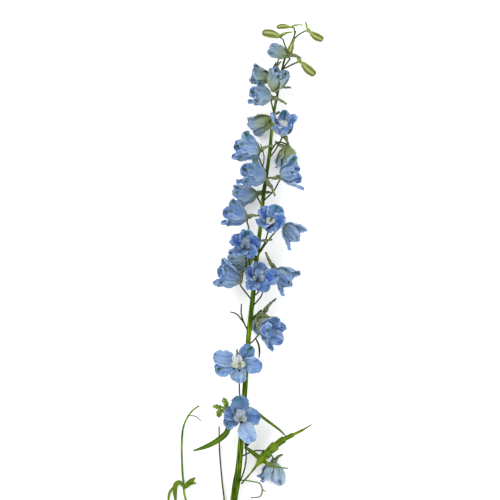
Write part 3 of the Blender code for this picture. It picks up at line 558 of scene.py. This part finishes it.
def cells(tree, scale, detail):
    """Noise from 0 to 1 on the object's own place, its scale in cells for each metre."""
    return noise_on(tree, object_place(tree), (scale, scale, scale), detail)


def object_place(tree):
    return add(tree, "TexCoord").outputs["Object"]


def own_map(tree):
    """The sheet's own map, and how far across and along it a point is, from 0 to 1."""
    uv = add(tree, "UVMap", uv_map="UVMap").outputs["UV"]
    parts = add(tree, "SeparateXYZ", {0: uv})
    return uv, parts.outputs["X"], parts.outputs["Y"]


def from_midline(tree, across):
    """0 on a sheet's midline and 0.5 at its edges."""
    return worked_out(tree, "ABSOLUTE", worked_out(tree, "SUBTRACT", across, 0.5))


def from_spot(tree, uv, spot, scale):
    """How far a point of the map lies from a spot, where 1 is the edge of its ellipse."""
    off = add(tree, "VectorMath", {0: uv, 1: spot}, operation="SUBTRACT").outputs[0]
    off = add(tree, "VectorMath", {0: off, 1: scale}, operation="MULTIPLY").outputs[0]
    return add(tree, "VectorMath", {0: off}, operation="LENGTH").outputs["Value"]


def finish_skin(tree, shader, colour, relief, rough, strength, distance):
    """Links a skin's colour, its roughness between two values and its relief."""
    tree.links.new(colour, shader.inputs["Base Color"])
    tree.links.new(ramp(tree, relief, 0.3, 0.7, rough[1], rough[0]), shader.inputs["Roughness"])
    bump = add(tree, "Bump", {"Height": relief, "Strength": strength, "Distance": distance})
    tree.links.new(bump.outputs[0], shader.inputs["Normal"])


def sepal_material(name, pale, mid, deep, base_tint, base_reach):
    """Living sepal tissue: a thin skin of blue cells with a satin glow. Its streaks fan from
    the claw to the rim about 1.5 mm apart and its veins half that, both drawn coarser than
    life so that they show. A dark green callus stands behind the tip, and the foot of the
    sepal is greenish."""
    material, tree, shader = new_material(name, 0.5, 0.3, subsurface=0.3, sheen=0.2)
    uv, across, along = own_map(tree)
    shift = product(tree, mark(tree, "seed"), 37.0)
    own_place = add(tree, "CombineXYZ", {0: across, 1: along, 2: shift}).outputs[0]
    streak = noise_on(tree, own_place, (8.0, 1.1, 1.0), 4.0, Roughness=0.62, Distortion=0.35)
    vein = noise_on(tree, own_place, (19.0, 1.6, 1.0), 3.0, Distortion=0.5)
    cloud = cells(tree, 230.0, 3.0)
    mauve = cells(tree, 520.0, 3.0)
    side = from_midline(tree, across)
    throat = from_spot(tree, uv, (0.5, 0.5, 0.0), (3.4, 4.6, 0.0))
    tip = product(tree, ramp(tree, along, 0.5, 0.8), ramp(tree, side, 0.4, 0.12))
    young = mixed(tree, ramp(tree, along, 0.25, 0.85), "#7B8748", "#8495A0")
    young = mixed(tree, ramp(tree, vein, 0.5, 0.66, 0.6), young, "#5E6C3E")
    # the callus is about 3 mm long
    reach = from_spot(tree, uv, (0.5, CALLUS_AT, 0.0), (6.0, 8.6, 0.0))
    callus = worked_out(tree, "ADD", reach, ramp(tree, vein, 0.3, 0.7, 0.5))
    colour = layered(
        tree, mixed(tree, ramp(tree, streak, 0.34, 0.64), pale, mid),
        (ramp(tree, cloud, 0.5, 0.7, 0.5), deep),
        (ramp(tree, mauve, 0.5, 0.66, 0.25), "#7A82B6"),
        # pale streaks, then a painted highlight: a ragged pale rim along the edges
        (product(tree, ramp(tree, streak, 0.47, 0.34), mark(tree, "pale")), "#AEBACC"),
        (product(tree, ramp(tree, side, 0.4, 0.49), ramp(tree, mauve, 0.36, 0.56, 0.8)), "#AEBDD6"),
        # dark veins, and deeper blue in patches towards the tips
        (ramp(tree, vein, 0.56, 0.7, 0.45), deep),
        (product(tree, ramp(tree, along, 0.55, 0.85, 0.75), ramp(tree, cloud, 0.46, 0.6)), deep),
        # deep blue patch of the throat
        (product(tree, ramp(tree, throat, 1.15, 0.75, 0.85), mark(tree, "patch")), "#2452A8"),
        # shaded and paled sepals
        (mark(tree, "shade"), "#2E4A75"),
        (mark(tree, "light"), "#B4BFCE"),
        # greenish foot and the sage cast of young flowers, olive towards the claw
        (ramp(tree, along, base_reach, 0.02, 0.85), base_tint),
        (product(tree, mark(tree, "sage"), ramp(tree, along, 1.25, 0.55)), young),
        # teal flush at the tip of the upper sepal, then the callus
        (product(tree, tip, mark(tree, "teal")), "#2F676C"),
        (product(tree, ramp(tree, callus, 1.35, 0.75), mark(tree, "spot")),
         mixed(tree, ramp(tree, callus, 0.85, 0.3), "#415B32", "#24370F")))
    relief = worked_out(tree, "ADD", worked_out(tree, "SUBTRACT", streak, vein), 0.5)
    finish_skin(tree, shader, colour, relief, (0.42, 0.62), 0.6, 0.0003)
    return material


def green_material(name, light, mid, dark, streak, rough=(0.4, 0.58), specular=0.12):
    """Living stem skin: a waxy green coat over fibres that run along it, which gives streaks about 1 mm
    wide and a satin shine. Glints are painted highlights: the light green in patches along the fibres."""
    material, tree, shader = new_material(name, rough[0], specular, subsurface=0.03)
    fibre = noise_on(tree, object_place(tree), streak, 4.0)
    patch = cells(tree, 60.0, 2.0)
    # painted highlight: glints of the light green in patches where the fibres stand out
    painted_glint = product(tree, ramp(tree, patch, 0.42, 0.66), ramp(tree, fibre, 0.48, 0.66))
    colour = mixed(tree, painted_glint, mixed(tree, ramp(tree, fibre, 0.36, 0.6), dark, mid), light)
    finish_skin(tree, shader, colour, fibre, rough, 0.45, 0.0002)
    return material


def leaf_material(name, light, mid, dark):
    """Living leaf: a matt green skin with a pale midrib about 0.6 mm wide and finer veins
    that leave it towards the edge."""
    material, tree, shader = new_material(name, 0.5, 0.12, subsurface=0.06)
    _, across, along = own_map(tree)
    side = from_midline(tree, across)
    slant = worked_out(tree, "MULTIPLY_ADD", side, -0.12, along)
    slant = add(tree, "CombineXYZ", {0: slant}).outputs[0]
    veins = add(tree, "TexWave", {"Vector": slant, "Scale": 9.0, "Distortion": 1.2,
                                  "Detail": 2.0}).outputs["Fac"]
    mottle = cells(tree, 420.0, 4.0)
    broad = cells(tree, 70.0, 2.0)
    colour = layered(
        tree, mixed(tree, ramp(tree, mottle, 0.34, 0.64), dark, mid),
        (ramp(tree, broad, 0.45, 0.68, 0.7), light),
        (ramp(tree, veins, 0.72, 0.95, 0.4), light),
        # the midrib and the darker edge
        (ramp(tree, side, 0.08, 0.03, 0.5), "#788C2C"),
        (ramp(tree, side, 0.44, 0.5, 0.5), dark))
    relief = worked_out(tree, "MULTIPLY_ADD", veins, -0.35, mottle)
    finish_skin(tree, shader, colour, relief, (0.42, 0.6), 0.5, 0.0003)
    return material


def bud_material(name, ridge, mid, dark, tip):
    """Closed bud: young sepals folded tight, matt and finely downy, with a pale raised
    keel on each, darker green between the keels and a dusky tip."""
    material, tree, shader = new_material(name, 0.55, 0.15, subsurface=0.12, sheen=0.08)
    down = cells(tree, 800.0, 3.0)
    keel = mark(tree, "keel")
    reach = mark(tree, "reach")
    seam = product(tree, ramp(tree, keel, 0.12, 0.01), ramp(tree, reach, 0.1, 0.4, 0.8))
    colour = layered(
        tree, mixed(tree, ramp(tree, down, 0.35, 0.65), dark, mid),
        (ramp(tree, keel, 0.55, 0.95, 0.7), ridge), (seam, tip), (ramp(tree, reach, 0.84, 1.0, 0.8), tip))
    finish_skin(tree, shader, colour, down, (0.5, 0.65), 0.4, 0.0002)
    return material


def bee_material(name, white, blue, fleck):
    """Inner petal: thinner than a sepal and half clear, so it is milky where it is thick and
    blue where the sepals show through, with dark fine veins and greenish-yellow flecks."""
    material, tree, shader = new_material(name, 0.5, 0.2, subsurface=0.25)
    vein = noise_on(tree, own_map(tree)[0], (13.0, 1.6, 1.0), 3.0)
    mottle = cells(tree, 620.0, 3.0)
    spot = cells(tree, 480.0, 1.0)
    milk = worked_out(tree, "ADD", mottle, mark(tree, "white"))
    flecks = product(tree, ramp(tree, spot, 0.5, 0.6, 0.8), ramp(tree, mark(tree, "white"), 1.2, 0.4))
    colour = layered(tree, mixed(tree, ramp(tree, milk, 0.6, 1.25), blue, white), (flecks, fleck),
                     (ramp(tree, vein, 0.52, 0.64, 0.7), "#43547C"))
    finish_skin(tree, shader, colour, mottle, (0.45, 0.6), 0.5, 0.0003)
    return material


def soft_tissue(name, one, two, spacing, rough, subsurface=0.2):
    """Soft petal or pollen tissue with mottles about as far apart as the spacing, in mm."""
    material, tree, shader = new_material(name, rough[0], 0.3, subsurface=subsurface)
    mottle = cells(tree, 1.0 / (spacing * MM), 3.0)
    colour = mixed(tree, ramp(tree, mottle, 0.38, 0.62), one, two)
    finish_skin(tree, shader, colour, mottle, rough, 0.4, 0.0002)
    return material


def facing_axes(flower):
    """The flower's axis, its upper side and its left side as unit vectors."""
    turn = radians(flower.facing[0])
    lift = radians(flower.facing[1])
    axis = Vector((cos(turn) * cos(lift), sin(turn) * cos(lift), sin(lift)))
    up = Vector((0, 1, 0)) if abs(axis.y) < 0.8 else Vector((0, 0, 1))
    upper = unit(up - axis * up.dot(axis))
    return axis, upper, axis.cross(upper)


def sepal_width(t):
    """Width of a sepal at t along it, as a share of its widest."""
    if t < WIDEST_AT:
        return lerp(CLAW_SHARE, 1.0, sin(pi / 2 * t / WIDEST_AT))
    return sqrt(max(1.0 - 0.985 * ((t - WIDEST_AT) / (1.0 - WIDEST_AT)) ** 2.5, 0.0))


def sepal_bend(t, bend):
    """Angle of a sepal from the flower's axis at t along it, in radians."""
    claw, middle, tip = bend
    if t < 0.4:
        return radians(lerp(claw, middle, ease(t / 0.4)))
    return radians(lerp(middle, tip, ease((t - 0.4) / 0.6)))


def crease(across, along, seed):
    """Soft folds that run along a sepal, from -1 to 1."""
    return soft_noise(across * 3.1, along * 1.3, seed)


def sepal_surface(base, axes, size, bend, turn, ruffle, seed, twist=SEPAL_TWIST, cup=0.8):
    """A function of s across and t along that gives a point of one sepal.

    ruffle is how far its rim waves, in millimetres, and seed makes its folds its own.
    """
    axis, upper, left = axes
    length, width = size
    around = radians(turn)
    out = upper * cos(around) + left * sin(around)
    along = left * cos(around) - upper * sin(around)
    tilt = radians(twist)
    count = 80
    radius = CLAW_RADIUS
    height = -CLAW_DEPTH
    midline = [(radius, height)]
    for step in range(count):
        angle = sepal_bend((step + 0.5) / count, bend)
        radius += sin(angle) * length / count
        height += cos(angle) * length / count
        midline.append((radius, height))

    def surface(s, t):
        rim = abs(s)
        reach = t * (1.0 + 0.07 * rim * soft_noise(s * 5.0, seed, 3.0)
                     + 0.04 * ease((t - 0.7) / 0.3) * soft_noise(s * 14.0, seed, 8.0))
        at = min(reach, 1.0) * count
        index = min(int(at), count - 1)
        radius = lerp(midline[index][0], midline[index + 1][0], at - index)
        height = lerp(midline[index][1], midline[index + 1][1], at - index)
        angle = sepal_bend(t, bend)
        inward = axis * sin(angle) - out * cos(angle)
        side = along * cos(tilt) + inward * sin(tilt)
        lift = inward * cos(tilt) - along * sin(tilt)
        uneven = (1.0 + 0.18 * soft_noise(t * 6.0, copysign(2.0, s), seed)
                  + 0.06 * soft_noise(t * 18.0, copysign(2.0, s), seed + 4.0))
        half = width / 2 * sepal_width(t) * lerp(1.0, uneven, ease(t / 0.3))
        curl = min(cup * half / max(radius, width / 3), 1.1)
        open_part = ease((t - 0.15) / 0.35)
        wave = ruffle * open_part * rim ** 2.2 * sin(11.0 * t + 3.0 * s + seed)
        wave += ruffle * 0.9 * open_part * rim ** 3 * soft_noise(t * 16.0, s * 3.0, seed + 5.0)
        folds = ruffle * 1.9 * open_part * crease(s, t, seed)
        folds += ruffle * 0.5 * crease(s * 2.0, t * 5.0, seed + 9.0)
        keel = -0.4 * exp(-(s / 0.1) ** 2) * ease(t / 0.2) * ease((1.0 - t) / 0.3)
        knob = 0.45 * exp(-((s / 0.2) ** 2 + ((t - CALLUS_AT) / 0.09) ** 2))
        pinch = ruffle * 1.1 * ease((t - 0.78) / 0.22) * (1.0 - rim)
        middle = base + out * radius + axis * height
        return (middle + side * (half * sin(curl * s) / curl)
                + lift * (half * (1 - cos(curl * s)) / curl + wave + folds + keel + pinch - knob))

    return surface


def backward(shape):
    """The direction from a flower or bud back into its stalk."""
    return unit(Vector(shape.stalk[-1]) - Vector(shape.base))


def spur_route(base, start_radius, end):
    end = Vector(end)
    run = end - base
    bow = Vector((0, 0, 1)).cross(unit(run)) * run.length * 0.07
    return [(*base, start_radius * 0.5), (*(base + run * 0.2 + bow * 0.5), start_radius),
            (*(base + run * 0.55 + bow), lerp(start_radius, SPUR_TIP_RADIUS, 0.6)), (*end, SPUR_TIP_RADIUS)]


def wrinkle(obj, scale, depth):
    """Pushes the skin in and out along its normals by soft noise."""
    mesh = obj.data
    moves = [(vertex.co.copy(), vertex.normal.copy()) for vertex in mesh.vertices]
    for vertex, (place_at, normal) in zip(mesh.vertices, moves):
        vertex.co = place_at + normal * (noise.noise(place_at * scale) * depth * MM)


def make_bloom(flower, number, materials):
    random.seed(100 + number)
    base = Vector(flower.base)
    axes = facing_axes(flower)
    pieces = []
    tint = TINTS[flower.name]
    for index, values in enumerate(flower.sepals):
        sepal = Sepal(*values)
        claw, middle, tip = flower.bend
        bend = (claw, middle + sepal.more * MIDDLE_SHARE, tip + sepal.more)
        size = (flower.size[0] * sepal.long, flower.size[1] * sepal.wide)
        seed = random.uniform(0.0, 40.0)
        surface = sepal_surface(base, axes, size, bend, sepal.turn, RUFFLE, seed, sepal.twist)
        marks = {"sage": tint.sage * random.uniform(0.85, 1.0), "teal": tint.teal if index == 0 else 0.0,
                 "spot": tint.spots[index], "patch": tint.deep if index in (1, 4) else 0.25 * tint.deep,
                 "pale": tint.pale * random.uniform(0.6, 1.0), "seed": seed / 40.0,
                 "shade": tint.shades[index], "light": -tint.shades[index]}
        pieces.append(shape_sheet("sepal", SEPAL_COLUMNS, SEPAL_ROWS, surface, SEPAL_THICKNESS,
                                  (materials["outside"], materials["inside"]), marks))
    back = backward(flower)
    heart = [(*(base + axes[0] * HEART_RISE), HEART_RADIUS * 0.7), (*base, HEART_RADIUS),
             (*(base + back * (NECK_LENGTH / 2)), HEART_RADIUS * 0.75),
             (*(base + back * NECK_LENGTH), NECK_RADIUS)]
    pieces.append(rod(flower.name + "_heart", heart, materials["spur"], steps=4))
    route = spur_route(base, HEART_RADIUS * 0.85, flower.spur)
    spur = rod(flower.name + "_spur", route, materials["spur"], steps=14)
    wrinkle(spur, 700.0, 0.7)
    wrinkle(spur, 1900.0, 0.3)
    pieces.append(spur)
    settle(pieces, flower.name)


def make_bee(flower, materials):
    """The bee of an open flower: two tall upper petals, two bearded lower ones with the
    hairs standing on them, and a tuft of dark anthers in the throat."""
    number = int(flower.name[-2:])
    random.seed(500 + number)
    base = Vector(flower.base)
    axis, upper, left = facing_axes(flower)
    form = BEES[flower.name]
    size = form.size
    round_by = radians(form.turn)
    tufts = [upper * -down + left * aside for aside, down in form.tufts]
    upper, left = (upper * cos(round_by) + left * sin(round_by),
                   left * cos(round_by) - upper * sin(round_by))
    foot = base + axis * (HEART_RISE + SEAT_GAP)
    pieces = []
    for turn, (length, width), bend, finish in BEE_PETALS:
        around = radians(turn)
        start = foot - (upper * cos(around) + left * sin(around)) * (CLAW_RADIUS - 0.7)
        surface = sepal_surface(start, (axis, upper, left), (length * size, width * size), bend, turn,
                                BEE_RUFFLE, random.uniform(0, 40), twist=8.0, cup=0.6)
        pieces.append(shape_sheet("bee_petal", 14, 18, surface, BEE_THICKNESS, (materials[finish],),
                                  {"seed": random.random(), "white": form.white}))
        if finish == "beard":
            for _ in range(BEARD_HAIRS):
                root = surface(random.uniform(-0.7, 0.7), random.uniform(0.4, 0.9))
                tip = root + (axis * random.uniform(0.5, 1.2) + upper * random.uniform(-0.6, 0.4)) * size
                pieces.append(rod("hair", [(*root, HAIR_RADIUS), (*tip, HAIR_RADIUS / 2)],
                                  materials["hair"], steps=1, resolution=0))
    for tuft in tufts:
        for _ in range(TUFT_ANTHERS):
            angle = random.uniform(0, 2 * pi)
            spread = (upper * cos(angle) + left * sin(angle)) * random.uniform(0.0, 0.85)
            end = base + axis * (ANTHER_HEIGHT * size + random.uniform(-0.5, 0.5)) + tuft + spread
            bow = foot + (end - foot) * 0.5 + tuft * 0.2
            pieces.append(rod("filament", [(*foot, HAIR_RADIUS), (*bow, HAIR_RADIUS), (*end, 0.1)],
                              materials["hair"], steps=2, resolution=0))
            sac = [(*(end - axis * 0.5), 0.25), (*end, ANTHER_RADIUS), (*(end + axis * 0.5), 0.25)]
            pieces.append(rod("anther", sac, materials["anther"], steps=2, resolution=1))
    settle(pieces, flower.name.replace("bloom", "bee"))


def bud_width(t):
    """Share of a bud's largest radius at t from its foot to its blunt tip."""
    body = lerp(0.62, 1.0, ease(t / 0.55)) if t < 0.55 else lerp(1.0, 0.8, ease((t - 0.55) / 0.45))
    ends = min(1.0, sqrt(max(1.0 - ((0.16 - t) / 0.16) ** 2, 0.0)) if t < 0.16 else 1.0)
    tip = sqrt(max(1.0 - ((t - 0.86) / 0.14) ** 2, 0.0)) if t > 0.86 else 1.0
    return body * ends * tip


def make_bud(shape, materials):
    """A closed bud: five sepals folded tight, with shallow seams, a spur and a neck."""
    base = Vector(shape.base)
    run = Vector(shape.tip) - base
    axis = unit(run)
    one = unit(axis.cross(Vector((0, 0, 1))))
    two = axis.cross(one)
    deselect()
    bpy.ops.mesh.primitive_uv_sphere_add(segments=50, ring_count=26, radius=1.0, location=(0, 0, 0))
    body = bpy.context.object
    keels = []
    reaches = []
    for vertex in body.data.vertices:
        t = (vertex.co.z + 1.0) / 2.0
        angle = atan2(vertex.co.y, vertex.co.x)
        polar = Vector((vertex.co.x, vertex.co.y)).length
        keel = (0.5 + 0.5 * cos(BUD_SEPALS * angle + 1.2 * t)) ** 2
        share = 1.12 * bud_width(t) * (1.0 - 0.09 * (1.0 - keel) * sin(pi * t) ** 0.5)
        spread = share * shape.radius if polar > 1e-6 else 0.0
        bow = one * (sin(pi * t) * 0.4)
        dent = run * (0.03 * keel * ease((t - 0.85) / 0.15))
        swell = (one * cos(angle) + two * sin(angle)) * spread
        vertex.co = place(base + run * t + dent + swell + bow)
        keels.append(keel)
        reaches.append(t)
    give_mark(body.data, "keel", keels)
    give_mark(body.data, "reach", reaches)
    body.data.materials.append(materials["bud"])
    pick(body)
    bpy.ops.object.mode_set(mode="EDIT")
    bpy.ops.mesh.select_all(action="SELECT")
    bpy.ops.mesh.normals_make_consistent(inside=False)
    bpy.ops.object.mode_set(mode="OBJECT")
    bpy.ops.object.shade_smooth()
    back = backward(shape)
    neck = [(*(base + axis * 0.6), shape.radius * 0.42), (*(base + back * 1.0), 0.9),
            (*(base + back * (NECK_LENGTH * BUD_NECK_SHARE)), 0.65)]
    pieces = [body, rod("neck", neck, materials["young"], steps=3)]
    route = spur_route(base + axis * 0.5, shape.radius * 0.42, shape.spur)
    spur = rod("spur", route, materials["young"], steps=10)
    wrinkle(spur, 700.0, 0.5)
    pieces.append(spur)
    settle(pieces, shape.name)


def stalk_route(shape, neck):
    """The route of a flower's or bud's stalk as far as the neck, which is so long."""
    back = backward(shape)
    end = Vector(shape.base) + back * (neck + SEAT_GAP * 0.5)
    controls = [Vector(point) for point in shape.stalk[:-1]] + [end + back * 1.2, end]
    return [(*point, STALK_RADIUS) for point in controls]


def make_stem(materials):
    pieces = [rod("trunk", STEM, materials["stem"], steps=8, resolution=5)]
    routes = [stalk_route(flower, NECK_LENGTH) for flower in FLOWERS]
    routes += [stalk_route(shape, NECK_LENGTH * BUD_NECK_SHARE) for shape in BUDS]
    for route in (*routes, *BRACTS):
        pieces.append(rod("stalk", route, materials["stalk"], steps=6))
    settle(pieces, "stem")


def blade_surface(route, turns, teeth, fold=0.3):
    """A function of s and t that gives a point of a narrow leaf."""
    stops = smooth_route(route, 12)
    points = [Vector(stop[:3]) for stop in stops]
    count = len(points)

    def surface(s, t):
        at = t * (count - 1)
        index = min(int(at), count - 2)
        share = at - index
        point = points[index].lerp(points[index + 1], share)
        half = lerp(stops[index][3], stops[index + 1][3], share)
        along = unit(points[min(index + 2, count - 1)] - points[max(index - 1, 0)])
        flat = unit(along.cross(Vector((0, 0, 1))))
        over = flat.cross(along)
        turn = radians(lerp(*turns, t))
        side = flat * cos(turn) + over * sin(turn)
        up = over * cos(turn) - flat * sin(turn)
        notch = 1.0 + teeth * (abs(s) ** 3) * (((t * LEAF_TEETH) % 1.0) - 0.5)
        return point + side * (s * half * notch) + up * (half * fold * abs(s) ** 1.4)

    return surface


def make_blade(shape, material, rows, teeth=0.0):
    surface = blade_surface(shape.route, shape.turn, teeth)
    return shape_sheet(shape.name, 8, rows, surface, LEAF_THICKNESS, (material,))


def make_leaf(shape, materials):
    rows, teeth = (96, 0.5) if shape.name == "leaf_3" else (48, 0.0)
    skin = materials["dark_leaf" if shape.name == "leaf_1" else "leaf"]
    settle([make_blade(shape, skin, rows, teeth)], shape.name)


def make_shoot(shape, materials):
    skin = materials["stalk" if shape.name == "thin_shoot" else "shoot"]
    pieces = [rod("rod", route, skin, steps=6) for route in shape.rods]
    for part in shape.blades:
        pieces.append(make_blade(part, materials["leaf"], rows=24))
    for base, tip, radius in shape.buds:
        run = Vector(tip) - Vector(base)
        profile = ((0.0, 0.3), (0.2, 0.8), (0.45, 1.0), (0.75, 0.82), (0.93, 0.45), (1.0, 0.1))
        bud = rod("bud", [(*(Vector(base) + run * t), radius * share) for t, share in profile],
                  materials["cluster"], steps=4)
        wrinkle(bud, 900.0, 0.9)
        pieces.append(bud)
    settle(pieces, shape.name)


def make_materials():
    return {
        "inside": sepal_material("sepal_inner_skin", "#86A2C4", "#5078B0", "#1F4C96", "#4C6A9D", 0.14),
        "outside": sepal_material("sepal_outer_skin", "#8FA8C2", "#5A80AE", "#2F5A98", "#767E66", 0.3),
        "spur": green_material("spur_skin", "#909C72", "#6E7854", "#444D2E", (700.0, 260.0, 700.0),
                               (0.5, 0.65)),
        "bee": bee_material("inner_petal_skin", "#D4D8DC", "#6C86B4", "#9AA588"),
        "beard": bee_material("bearded_petal_skin", "#C2C5B4", "#6C84B0", "#A2A678"),
        "hair": soft_tissue("beard_hair", "#D6D7CE", "#C4C5AC", 1.0, (0.5, 0.65)),
        "anther": soft_tissue("anther_sac", "#0C1118", "#1C2423", 0.5, (0.55, 0.7), 0.0),
        "bud": bud_material("bud_skin", "#A2AC70", "#868F50", "#6A7638", "#474C20"),
        "young": green_material("young_green_skin", "#A9B45C", "#7E9432", "#4F6A18", (700.0, 260.0, 700.0),
                                (0.45, 0.6), 0.35),
        "cluster": green_material("bud_cluster_skin", "#9AAE48", "#6C8A28", "#3E5E10",
                                  (900.0, 500.0, 900.0)),
        "stem": green_material("stem_skin", "#7A9612", "#426004", "#1C3002", (900.0, 14.0, 900.0),
                               specular=0.06),
        "stalk": green_material("stalk_skin", "#4C6612", "#284408", "#102204", (1100.0, 90.0, 1100.0)),
        "shoot": green_material("shoot_skin", "#7C9C22", "#4E760C", "#2A4A06", (1100.0, 60.0, 1100.0)),
        "leaf": leaf_material("leaf_skin", "#6C8210", "#466402", "#284202"),
        "dark_leaf": leaf_material("shaded_leaf_skin", "#587414", "#3A5A06", "#1E3A04"),
    }


def make_floor():
    """A sheet of white card under the spike."""
    deselect()
    bpy.ops.mesh.primitive_plane_add(size=6.0, location=(0, 0, -0.0002))
    floor = bpy.context.object
    floor.name = "table_card"
    material, tree, shader = new_material("white_card", 0.9, 0.1)
    colour = mixed(tree, cells(tree, 3.0, 2.0), "#FAFAFA", "#FCFCFC")
    tree.links.new(colour, shader.inputs["Base Color"])
    floor.data.materials.append(material)


def make_light():
    world = bpy.data.worlds.new("studio")
    bpy.context.scene.world = world
    world.use_nodes = True
    background = world.node_tree.nodes["Background"]
    background.inputs["Color"].default_value = (1.0, 1.0, 1.0, 1.0)
    background.inputs["Strength"].default_value = 0.95
    for name, at, size, power in (("key_softbox", (-0.7, 0.6, 1.3), 1.0, 17.0),
                                 ("fill_softbox", (0.9, -0.4, 1.2), 1.1, 9.0)):
        light = bpy.data.lights.new(name, "AREA")
        light.size = size
        light.energy = power
        lamp = bpy.data.objects.new(name, light)
        lamp.location = at
        lamp.rotation_euler = (-Vector(at)).to_track_quat("-Z", "Y").to_euler()
        bpy.context.scene.collection.objects.link(lamp)


def make_camera():
    """A long lens straight above the spike, framed as the photograph is."""
    data = bpy.data.cameras.new("camera")
    data.sensor_width = SENSOR_WIDTH
    data.lens = SENSOR_WIDTH * CAMERA_DISTANCE / VIEW_WIDTH
    data.clip_end = 10.0
    camera = bpy.data.objects.new("camera", data)
    camera.location = place(VIEW_MIDDLE) + Vector((0, 0, CAMERA_DISTANCE * MM))
    bpy.context.scene.collection.objects.link(camera)
    bpy.context.scene.camera = camera


def main():
    bpy.context.scene.view_settings.view_transform = "Standard"
    materials = make_materials()
    make_floor()
    make_light()
    make_camera()
    for number, flower in enumerate(FLOWERS):
        make_bloom(flower, number, materials)
        if flower.open:
            make_bee(flower, materials)
    for shape in BUDS:
        make_bud(shape, materials)
    make_stem(materials)
    for shape in LEAVES:
        make_leaf(shape, materials)
    for shape in SHOOTS:
        make_shoot(shape, materials)


main()
